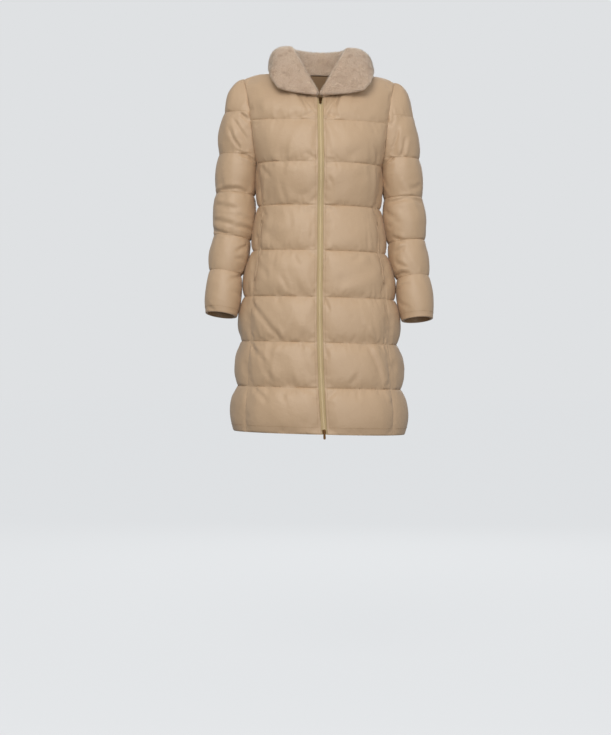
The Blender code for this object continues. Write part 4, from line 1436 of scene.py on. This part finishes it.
FOLDS = {
    # Drag lines run down from the side seam towards the zip, here most of all.
    "front_right": (
        Fold(1.00, 2.90, 0.58, 2.10, 5.5, 3.6), Fold(0.63, 2.27, 0.55, 2.03, 4.5, 2.4),
        Fold(0.55, 3.42, 0.45, 3.10, 5, 2), Fold(1.00, 3.79, 0.73, 3.42, 6, 2),
        Fold(0.37, 3.90, 0.29, 3.66, 4.5, 1.6), Fold(0.97, 1.90, 0.68, 1.42, 5.5, 3.2),
        Fold(0.82, 1.50, 0.63, 1.10, 5.5, 2.6), Fold(0.90, 0.97, 0.71, 0.66, 5.5, 2.8),
        Fold(0.55, 0.90, 0.45, 0.66, 5, 1.4), Fold(0.87, 5.90, 0.71, 5.66, 5.5, 2.2),
        Fold(0.29, 5.21, 0.07, 5.34, 4.5, 1.4), Fold(0.18, 6.21, 0.03, 6.03, 5, 2.4),
        Fold(0.99, 4.93, 0.83, 4.66, 5, 1.6),
    ),
    # This front hangs more evenly, with short breaks by the zip and the side seam.
    "front_left": (
        Fold(0.63, 2.34, 0.73, 2.07, 5.5, 3.6), Fold(0.68, 1.90, 0.82, 1.34, 6, 2.6),
        Fold(0.39, 1.10, 0.53, 1.34, 5, 2), Fold(0.00, 0.73, 0.15, 0.93, 5, 2.4),
        Fold(0.03, 3.00, 0.10, 2.73, 4.5, 2.4), Fold(0.04, 4.97, 0.23, 4.79, 4.5, 1.6),
        Fold(0.75, 6.42, 0.85, 6.10, 5, 2.2), Fold(0.07, 5.66, 0.17, 5.42, 4.5, 1.6),
        Fold(0.47, 3.73, 0.66, 4.00, 6, 1.4), Fold(0.01, 1.90, 0.08, 1.66, 5, 1.8),
        Fold(0.89, 5.00, 0.99, 4.73, 5, 1.8),
    ),
    # The sleeves crush at the armhole and the elbow, and gather on their inner side.
    "sleeve_right": (
        Fold(0.07, 4.94, 0.00, 4.71, 5, 4.6), Fold(0.16, 4.77, 0.03, 4.36, 4.5, 3.4),
        Fold(0.22, 4.57, 0.13, 4.09, 5, 3), Fold(0.14, 4.00, 0.01, 3.82, 5.5, 4.6),
        Fold(0.48, 2.94, 0.29, 3.06, 4.5, 3.6), Fold(0.29, 3.09, 0.14, 3.03, 4.5, 3.4),
        Fold(0.40, 2.71, 0.22, 2.64, 5, 3.6), Fold(0.42, 2.36, 0.25, 2.29, 4.5, 4.8),
        Fold(0.22, 2.23, 0.04, 2.23, 4.5, 4.8), Fold(0.50, 2.18, 0.27, 2.00, 4, 3.6),
        Fold(0.22, 2.50, 0.10, 2.43, 4.5, 3.4), Fold(0.19, 1.57, 0.09, 1.82, 4, 3.4),
        Fold(0.17, 1.36, 0.06, 1.43, 4, 2.8), Fold(0.19, 0.77, 0.01, 1.03, 4.5, 3),
        Fold(0.17, 0.50, 0.01, 0.50, 4, 2.6), Fold(0.38, 0.13, 0.30, 0.00, 4.5, 2),
        Fold(0.96, 4.80, 0.85, 4.36, 5, 4), Fold(0.98, 3.88, 0.87, 4.04, 5.5, 4.2),
        Fold(0.70, 2.84, 0.56, 2.76, 4.5, 2.6), Fold(0.90, 2.55, 0.76, 2.62, 4.5, 2.8),
        Fold(0.93, 2.28, 0.78, 2.18, 4.5, 3), Fold(0.90, 1.42, 0.79, 1.56, 4.5, 2.4),
    ),
    "sleeve_left": (
        Fold(0.00, 4.64, 0.02, 4.82, 5, 4.6), Fold(0.19, 4.43, 0.17, 4.00, 5, 3),
        Fold(0.08, 4.64, 0.06, 4.23, 4.5, 2.6), Fold(0.01, 3.82, 0.08, 4.00, 5.5, 4.6),
        Fold(0.13, 2.87, 0.25, 2.94, 4.5, 4.4), Fold(0.25, 2.94, 0.42, 2.87, 4.5, 3.6),
        Fold(0.08, 2.71, 0.19, 2.50, 5, 3.4), Fold(0.10, 2.36, 0.20, 2.43, 4.5, 3.6),
        Fold(0.13, 2.09, 0.22, 1.91, 4.5, 3.6), Fold(0.13, 1.71, 0.22, 1.77, 4.5, 3.4),
        Fold(0.12, 1.43, 0.20, 1.18, 4, 3), Fold(0.06, 1.06, 0.20, 1.06, 4.5, 3.4),
        Fold(0.06, 0.71, 0.19, 0.77, 4, 2.6), Fold(0.07, 0.43, 0.17, 0.23, 4, 2.4),
        Fold(0.30, 3.18, 0.40, 3.29, 5, 2.2), Fold(0.97, 4.85, 0.84, 4.40, 5, 4),
        Fold(0.98, 3.85, 0.88, 4.02, 5.5, 4.2), Fold(0.72, 2.88, 0.58, 2.95, 4.5, 2.6),
        Fold(0.88, 2.60, 0.74, 2.52, 4.5, 2.8), Fold(0.94, 2.20, 0.80, 2.34, 4.5, 3),
        Fold(0.92, 1.50, 0.80, 1.34, 4.5, 2.4),
    ),
    # The back and the sides crease as the fronts do.
    "back": (
        Fold(-0.86, 5.85, -0.70, 5.45, 5.5, 2.4), Fold(0.84, 5.80, 0.66, 5.42, 5.5, 2.6),
        Fold(-0.97, 4.80, -0.80, 4.45, 5.5, 2.2), Fold(0.95, 4.86, 0.82, 4.52, 5.5, 2),
        Fold(-0.62, 3.80, -0.44, 3.42, 5.5, 2.2), Fold(0.98, 3.70, 0.72, 3.28, 6, 2.6),
        Fold(0.30, 3.90, 0.22, 3.60, 5, 1.8), Fold(-0.98, 2.90, -0.64, 2.25, 5.5, 3.2),
        Fold(0.90, 2.92, 0.66, 2.40, 5.5, 2.8), Fold(0.28, 2.25, 0.36, 2.05, 5, 2),
        Fold(-0.92, 1.85, -0.66, 1.35, 5.5, 2.8), Fold(0.86, 1.50, 0.64, 1.10, 5.5, 2.6),
        Fold(-0.30, 1.70, -0.16, 1.40, 5, 1.8), Fold(0.94, 0.95, 0.74, 0.62, 5.5, 2.6),
        Fold(-0.80, 0.92, -0.66, 0.66, 5.5, 2.2), Fold(-0.90, 6.60, -0.80, 6.20, 5, 2),
        Fold(0.92, 6.55, 0.82, 6.15, 5, 2.2), Fold(-0.10, 6.30, -0.02, 6.08, 4.5, 1.4),
    ),
    "side_left": (
        Fold(0.30, 4.20, 0.62, 3.85, 5, 1.8), Fold(0.60, 2.75, 0.36, 2.35, 5, 1.8),
        Fold(0.40, 1.70, 0.62, 1.40, 5, 1.6),
    ),
    "side_right": (
        Fold(0.66, 4.15, 0.34, 3.80, 5, 1.8), Fold(0.34, 2.70, 0.60, 2.30, 5, 1.8),
        Fold(0.60, 1.72, 0.40, 1.38, 5, 1.6),
    ),
}


# ---- the collar --------------------------------------------------------------------------


@dataclass
class Collar:
    """A nylon under-collar, faced with a short-pile fur that shows all over its top.

    Attributes:
        form: The collar's form.
        columns, rows: How finely the pelt is divided.
        pelt_depth: The filling and backing under the pile.
        hairs: How many hairs each half of the pile has.
        hair_length: The longest hair.
    """

    form: CollarForm
    columns: int = 170
    rows: int = 56
    pelt_depth: float = 0.0050
    under_wall: float = 0.0018
    gap: float = 0.0002
    hairs: int = 38000
    hair_length: float = 0.0072
    hair_radius: float = 0.00046
    hair_sunk: float = 0.0006
    shortest: float = 0.6
    clump_sway: float = 0.18
    own_sway: float = 0.35
    lean: float = 0.65
    own_lean: float = 0.3
    edge_rounding: float = 0.009
    thin_edge: float = 0.12
    lump_depth: float = 0.0008

    def layout(self) -> tuple[np.ndarray, np.ndarray, np.ndarray]:
        """Points, unit normals on the fur side and flat layout of the collar."""
        last = self.form.last_turn()
        turns = [last * math.sin(math.pi / 2 * at) for at in steps(-1, 1, self.columns)]
        hung, point = self.form.body.hung, self.form.point
        points = np.array(
            [[hung(point(turn, place)) for turn in turns] for place in steps(0, 2, self.rows)]
        )
        return points, unit(outwards(points)), np.stack([run(points, 1), run(points)], axis=2)

    def pelt_skin(self, base: np.ndarray, normals: np.ndarray, cloth: np.ndarray) -> np.ndarray:
        """The pelt's outer side: it rounds off at its edges and is softly uneven.

        Args:
            base, normals, cloth: The collar's layout.

        Returns:
            The points.
        """
        wide, tall = cloth[..., 0], cloth[..., 1]
        edge = np.minimum.reduce([wide - wide[:, :1], wide[:, -1:] - wide, tall[-1:] - tall])
        round_off = np.sqrt(1 - (1 - np.clip(edge / self.edge_rounding, 0, 1)) ** 2)
        lumps = ripple(wide + 0.3 * tall, 0.030, 3) * ripple(tall - 0.2 * wide, 0.026, 4)
        thin = self.thin_edge
        depth = self.gap + self.pelt_depth * (thin + (1 - thin) * round_off)
        depth = depth + self.lump_depth * lumps * round_off
        return base + normals * depth[..., None]

    def make(self) -> None:
        """Makes the pelt, its pile and the under-collar."""
        base, normals, cloth = self.layout()
        top = self.pelt_skin(base, normals, cloth)
        gap = normals * self.gap
        pelt = self.shell("fur_pelt", top, base + gap, cloth, PELT)
        sew_on(pelt, "fur", "collar_fur")
        under_side = base - normals * (self.gap + self.under_wall)
        under = self.shell("under_collar", base - gap, under_side, cloth, TAFFETA)
        sew_on(under, "shell", "collar_under")
        area = np.linalg.norm(outwards(base), axis=2).sum()
        LOG.info("under-collar: edge %.3f m, depth %.3f m, area %.4f m2", *cloth[-1, -1], area)
        self.add_pile(top, normals)

    def shell(
        self, name: str, top: np.ndarray, back: np.ndarray, cloth: np.ndarray, finish: Finish
    ) -> bpy.types.Object:
        """Closes two sheets round their edges into one piece.

        Args:
            name: The piece's name.
            top: The points on the fur side.
            back: The points behind them.
            cloth: The flat place of each point.
            finish: What the piece is made of.

        Returns:
            The closed piece.
        """
        piece, behind = add_sheet(name, top, cloth), add_sheet(name + "_back", back, cloth)
        flip(behind)
        for sheet in (piece, behind):
            sheet.data.materials.append(finish.make())
        close_edges(joined(piece, behind))
        smooth(piece, 60.0)
        report(piece)
        return piece

    def add_pile(self, top: np.ndarray, normals: np.ndarray) -> None:
        """Plants the hairs, which lean from the neck towards the free edge.

        Args:
            top: The pelt's outer side.
            normals: Its normals.
        """
        cells = np.linalg.norm(outwards(top), axis=2)[:-1, :-1]
        along = np.gradient(top, axis=0)
        half = top.shape[1] // 2
        for name, first, last, seed in (("right", 0, half, 11), ("left", half, None, 12)):
            draw = np.random.default_rng(seed)
            weights = cells[:, first:last]
            flat = draw.choice(weights.size, self.hairs, p=weights.ravel() / weights.sum())
            row, column = np.divmod(flat, weights.shape[1])
            column += first
            up, over = draw.random(self.hairs)[:, None], draw.random(self.hairs)[:, None]

            def blended(values: np.ndarray) -> np.ndarray:
                """The values at the hairs' own places in their cells."""
                low = values[row, column] * (1 - over) + values[row, column + 1] * over
                high = values[row + 1, column] * (1 - over) + values[row + 1, column + 1] * over
                return low * (1 - up) + high * up

            frames = self.hair_frames(blended(top), blended(normals), unit(blended(along)), draw)
            self.plant(f"fur_pile_{name}", frames)

    def hair_frames(
        self, root: np.ndarray, normal: np.ndarray, fall: np.ndarray, draw: np.random.Generator
    ) -> np.ndarray:
        """The frame of each hair.

        Args:
            root: The hairs' places on the pelt.
            normal: The pelt's normal at each.
            fall: The way from the neck to the free edge at each.
            draw: Where the chances come from.

        Returns:
            A 3 by 4 matrix for each hair.
        """
        side, height = root[:, 0], root[:, 2]
        clump = ripple(side * 1.3 + height, 0.011, 21) + ripple(height - side, 0.009, 22)
        sway = self.clump_sway * clump[:, None]
        sway = sway + self.own_sway * draw.normal(size=(self.hairs, 1))
        lean = self.lean + self.own_lean * draw.normal(size=(self.hairs, 1))
        way = unit(normal + fall * lean + np.cross(normal, fall) * sway)
        aside = unit(np.cross(way, draw.normal(size=(self.hairs, 3))))
        length = self.hair_length * draw.uniform(self.shortest, 1.0, (self.hairs, 1))
        foot = root - way * self.hair_sunk
        return np.stack([aside, np.cross(way, aside), way * length, foot], axis=2)

    def plant(self, name: str, frames: np.ndarray) -> None:
        """Makes a half of the pile, with a hair at each frame."""
        bpy.ops.object.select_all(action="DESELECT")
        bpy.ops.mesh.primitive_cone_add(
            vertices=3, radius1=self.hair_radius, depth=1.0, location=(0, 0, 0.5)
        )
        hair = bpy.context.object
        bpy.ops.object.transform_apply(location=True, rotation=False, scale=False)
        tip = np.array([vertex.co.z for vertex in hair.data.vertices])
        pile = joined_copies(name, hair, frames)
        # How far up each hair a point lies, which fades the painted shade at its root.
        shade = pile.data.attributes.new(TIP, "FLOAT", "POINT")
        shade.data.foreach_set("value", np.tile(tip, self.hairs))
        pile.data.materials.append(FurFinish().make())
        sew_on(pile, "fur")
        LOG.info("%s: %d hairs", name, self.hairs)


# ---- zip and stitches --------------------------------------------------------------------


@dataclass
class Zip:
    """The two-way zip: its teeth along the closed chain, and finishes for its CAD pieces."""

    body: BodyForm
    tooth_pitch: float = 0.0026
    first_level: float = 0.045
    last_level: float = 7.93
    tooth: tuple = (0.0046, 0.0015, 0.0020)
    backing_half_width: float = 0.0030
    backing_half_depth: float = 0.0004
    proud: float = 0.0006
    stagger: float = 0.00046
    tooth_rounding: float = 0.0004
    samples: int = 900
    look_ahead: float = 0.01

    def hung_point(self, offset: float, level: float) -> Vector:
        """A point of the hung coat's front beside the zip's line."""
        return self.body.hung(self.body.zip_point(offset, level))

    def tooth_levels(self) -> np.ndarray:
        """The level of each tooth: they are evenly spaced along the chain."""
        levels = np.array(steps(self.first_level, self.last_level, self.samples))
        along = run(np.array([self.hung_point(0.0, level) for level in levels]))
        wanted = np.arange(self.tooth_pitch, along[-1], self.tooth_pitch)
        return np.interp(wanted, along, levels)

    def frame_at(self, level: float) -> np.ndarray:
        """The place and axes of the chain at a level: across, out and up."""
        here = self.hung_point(0.0, level)
        up = (self.hung_point(0.0, level + self.look_ahead) - here).normalized()
        side = (self.hung_point(MILLIMETRE, level) - here).normalized()
        side = (side - up * side.dot(up)).normalized()
        out = side.cross(up)
        return np.array([[side[i], out[i], up[i], here[i]] for i in range(3)])

    def make(self) -> None:
        """Makes the teeth, and gives the tapes, sliders and tabs their finishes."""
        frames = np.array([self.frame_at(level) for level in self.tooth_levels()])
        centres, sides, outs = (frames[:, :, column].copy() for column in (3, 0, 1))
        turned = np.where(np.arange(len(frames)) % 2, 1.0, -1.0)[:, None]
        frames[:, :, 3] += outs * self.proud + sides * turned * self.stagger
        bpy.ops.object.select_all(action="DESELECT")
        bpy.ops.mesh.primitive_cube_add(size=1.0)
        tooth = bpy.context.object
        tooth.scale = self.tooth
        bpy.ops.object.transform_apply(location=False, rotation=False, scale=True)
        bpy.ops.object.modifier_add(type="BEVEL")
        rounding = tooth.modifiers[-1]
        rounding.width, rounding.segments = self.tooth_rounding, 2
        bpy.ops.object.modifier_apply(modifier=rounding.name)
        teeth = joined_copies("zip_teeth", tooth, frames)
        teeth.data.materials.append(TEETH.make())
        smooth(teeth)
        sew_on(teeth, "zip_chain", "zip_chain")
        LOG.info("zip_teeth: %d teeth", len(frames))
        size = (self.backing_half_width, self.backing_half_depth)
        backing = add_band("zip_cord", centres, sides, outs, *size)
        backing.data.materials.append(TAPE.make())
        sew_on(backing, "zip_tape")
        metal = ("zip_slider_top", "zip_slider_bottom", "pull_tab_top", "pull_tab_bottom")
        for node in ("zip_tape_left", "zip_tape_right", *metal):
            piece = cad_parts[node]
            piece.data.materials.clear()
            piece.data.materials.append((BRONZE if node in metal else TAPE).make())


@dataclass
class Pockets:
    """The two slanted pockets: the folded lip of each mouth, and the bar tacks at its ends."""

    shell: PaddedShell
    lowest: float = 10 / 3
    highest: float = 14 / 3
    half_width: float = 0.0034
    half_depth: float = 0.0011
    columns_in: int = 5
    tack_stitches: int = 9
    tack_pitch: float = 0.0011

    def mouth(self, panel: Panel) -> tuple[np.ndarray, np.ndarray, np.ndarray]:
        """The line of a pocket's mouth on a front, with its vectors across and out.

        Args:
            panel: The front, filled and settled.

        Returns:
            The points, the unit vectors across the lip and those out of the front.
        """
        levels = np.array(panel.alongs)
        rows = np.flatnonzero((levels >= self.lowest) & (levels <= self.highest))
        columns = [1, self.columns_in] if panel.mirrored else [-2, -1 - self.columns_in]
        ends = panel.shaped[rows][:, columns]
        sides = unit(ends[:, 0] - ends[:, 1])
        outs = panel.normals[rows][:, columns].mean(axis=1)
        outs = unit(outs - sides * (outs * sides).sum(axis=1, keepdims=True))
        return ends.mean(axis=1) + outs * self.half_depth * 0.5, sides, outs

    def tack(
        self, centre: np.ndarray, side: np.ndarray, out: np.ndarray, up: np.ndarray
    ) -> np.ndarray:
        """Frames of the close stitches of one bar tack, which stand one over the other.

        Args:
            centre: The tack's middle.
            side, out, up: The unit vectors across the lip, out of it and along it.

        Returns:
            A 3 by 4 matrix for each stitch.
        """
        offsets = self.tack_pitch * (np.arange(self.tack_stitches) - self.tack_stitches / 2)
        axes = np.stack([up, out, side, centre + out * self.half_depth], axis=1)
        frames = np.repeat(axes[None], self.tack_stitches, axis=0)
        frames[:, :, 3] += offsets[:, None] * up
        return frames

    def make(self) -> np.ndarray:
        """Makes the lips.

        Returns:
            The frames of the bar tacks' stitches.
        """
        tacks = []
        for panel in self.shell.panels:
            if not panel.name.startswith("front"):
                continue
            centres, sides, outs = self.mouth(panel)
            name = panel.name.replace("front", "pocket_lip")
            lip = add_band(name + "_welt", centres, sides, outs, self.half_width, self.half_depth)
            lip.data.materials.append(TAFFETA.make())
            sew_on(lip, "shell", name)
            for end, inward in ((0, 1), (-1, -2)):
                up = unit(centres[inward] - centres[end])
                place = centres[end] + (up - sides[end] * 0.8) * self.half_width
                tacks.append(self.tack(place, sides[end], outs[end], up))
        return np.concatenate(tacks)


@dataclass
class Stitching:
    """The quilting stitches, sunk in the seams that they hold, and the topstitching."""

    shell: PaddedShell
    pitch: float = 0.0034
    length: float = 0.0026
    radius: float = 0.00036
    tack_width: float = 1.15
    proud: float = 0.0003
    hem_row: int = 4
    zip_column: int = 3

    def line(self, points: np.ndarray, normals: np.ndarray) -> np.ndarray:
        """Frames of the stitches along a row of points.

        Args:
            points: The row.
            normals: Its normals.

        Returns:
            A 3 by 4 matrix for each stitch.
        """
        along = run(points)
        wanted = np.arange(self.pitch, along[-1] - self.pitch, self.pitch)

        def read(values: np.ndarray, ahead: float = 0.0) -> np.ndarray:
            """The values at the stitches' places, or a little ahead of them."""
            return np.stack([np.interp(wanted + ahead, along, row) for row in values.T], axis=1)

        place, out = read(points), read(normals)
        way = unit(read(points, MILLIMETRE) - place)
        side = unit(np.cross(out, way))
        return np.stack([side, np.cross(way, side), way, place + out * self.proud], axis=2)

    def sew(self, name: str, frames: np.ndarray, finish: Finish, length: float) -> None:
        """Makes one piece of stitches, each plump in its middle like a grain of rice.

        Args:
            name: The piece's name.
            frames: A 3 by 4 matrix for each stitch.
            finish: The thread.
            length: How long a stitch is.
        """
        bpy.ops.object.select_all(action="DESELECT")
        bpy.ops.mesh.primitive_ico_sphere_add(subdivisions=1, radius=self.radius)
        stitch = bpy.context.object
        stitch.scale = (1.0, 1.0, length / (2 * self.radius))
        bpy.ops.object.transform_apply(location=False, rotation=False, scale=True)
        stitches = joined_copies(name, stitch, frames)
        stitches.data.materials.append(finish.make())
        smooth(stitches, 80.0)
        sew_on(stitches, "shell")
        LOG.info("%s: %d", name, len(frames))

    def make(self, tacks: np.ndarray) -> None:
        """Makes the quilting, the topstitching of hem, cuffs and zip, and the bar tacks."""
        quilting, edges = [], []
        for panel in self.shell.panels:
            for row in (*panel.quilted, self.hem_row):
                frames = self.line(panel.shaped[row, 1:-1], panel.normals[row, 1:-1])
                (edges if row == self.hem_row else quilting).append(frames)
            if panel.name.startswith("front"):
                column = -1 - self.zip_column if panel.mirrored else self.zip_column
                edges.append(self.line(panel.shaped[1:-1, column], panel.normals[1:-1, column]))
        self.sew("quilting_stitches", np.concatenate(quilting), THREAD, self.length)
        self.sew("edge_topstitching", np.concatenate(edges), THREAD, self.length)
        self.sew("pocket_bar_tacks", tacks, TACK_THREAD, self.length * self.tack_width)


# ---- the studio --------------------------------------------------------------------------


@dataclass(frozen=True)
class Studio:
    """A pale seamless room with soft light from above and in front, and the camera."""

    floor_height: float = -1.52
    camera_place: tuple = (-0.034, -4.5, -0.71875)
    view_height: float = 1.8375
    sensor: float = 36.0
    backdrop: str = "DFE1E3"
    floor_colour: str = "606162"
    floor_glow: float = 0.905
    floor_radius: float = 40.0
    light_above: float = 0.85
    light_below: float = 0.22
    lit_place: tuple = (0.0, 0.0, -0.45)

    def add_light(
        self, name: str, place: tuple[float, float, float], size: float, watts: float, colour: str
    ) -> None:
        """Adds a square soft light that faces the coat's middle.

        Args:
            name: The light's name.
            place: Where it stands.
            size: The length of its side.
            watts: Its power.
            colour: Its colour, as an sRGB hex code.
        """
        data = bpy.data.lights.new(name, "AREA")
        data.shape, data.size, data.energy = "SQUARE", size, watts
        data.color = linear(colour)[:3]
        light = bpy.data.objects.new(name, data)
        light.location = place
        way = Vector(self.lit_place) - Vector(place)
        light.rotation_euler = way.to_track_quat("-Z", "Y").to_euler()
        bpy.context.scene.collection.objects.link(light)

    def light_air(self, tree: bpy.types.NodeTree) -> None:
        """Makes the air look like the backdrop, while its light falls mostly from above.

        Args:
            tree: The world's node tree.
        """
        back = tree.nodes["Background"]
        back.inputs["Strength"].default_value = 1.0
        sky = linear(self.backdrop)
        way = add_node(tree, "TexCoord", {}, {}).outputs["Generated"]
        height = add_node(tree, "SeparateXYZ", {}, {"Vector": way}).outputs["Z"]
        ends = {"From Min": -0.6, "From Max": 0.9}
        ends.update({"To Min": self.light_below, "To Max": self.light_above})
        rise = add_node(tree, "MapRange", ends, {"Value": height}).outputs["Result"]
        shades = {"data_type": "RGBA", 6: (0, 0, 0, 1), 7: sky}
        dome = add_node(tree, "Mix", shades, {0: rise}).outputs[2]
        seen = add_node(tree, "LightPath", {}, {}).outputs["Is Camera Ray"]
        either = add_node(tree, "Mix", {"data_type": "RGBA", 7: sky}, {0: seen, 6: dome})
        tree.links.new(either.outputs[2], back.inputs["Color"])

    def make(self) -> None:
        """Makes the floor, the lights, the world and the camera."""
        scene = bpy.context.scene
        scene.view_settings.view_transform = "Standard"
        bpy.ops.object.select_all(action="DESELECT")
        bpy.ops.mesh.primitive_circle_add(
            vertices=96, radius=self.floor_radius, fill_type="NGON",
            location=(0, 0, self.floor_height),
        )
        floor = bpy.context.object
        floor.name = "studio_floor"
        material, _, shader = new_material("painted_studio_floor", self.backdrop)
        shader.inputs["Base Color"].default_value = linear(self.floor_colour)
        shader.inputs["Roughness"].default_value = 0.9
        shader.inputs["Specular IOR Level"].default_value = 0.0
        shader.inputs["Emission Color"].default_value = linear(self.backdrop)
        shader.inputs["Emission Strength"].default_value = self.floor_glow
        floor.data.materials.append(material)
        floor.visible_diffuse = floor.visible_glossy = False
        world = bpy.data.worlds.new("studio_air")
        world.use_nodes = True
        scene.world = world
        self.light_air(world.node_tree)
        self.add_light("key", (-0.5, -3.4, 1.3), 1.6, 70.0, "FFFCF8")
        self.add_light("fill", (1.2, -3.6, -0.5), 2.2, 34.0, "FDFCFF")
        self.add_light("back", (0.4, 3.8, 1.0), 2.2, 50.0, "FFFDFA")
        data = bpy.data.cameras.new("camera")
        camera = bpy.data.objects.new("camera", data)
        camera.location = self.camera_place
        camera.rotation_euler = (math.pi / 2, 0, 0)
        data.sensor_width = self.sensor
        data.lens = self.sensor / self.view_height * -self.camera_place[1]
        scene.collection.objects.link(camera)
        scene.camera = camera


def main() -> None:
    """Builds the coat's pieces in order, and the studio."""
    logging.basicConfig(level=logging.INFO, format="%(name)s %(relativeCreated)6.0f %(message)s")
    body = BodyForm()
    shell = PaddedShell(body, SleeveForm(body))
    shell.make(FOLDS)
    Collar(CollarForm(body)).make()
    Zip(body).make()
    Stitching(shell).make(Pockets(shell).make())
    Studio().make()


if __name__ == "__main__":
    main()
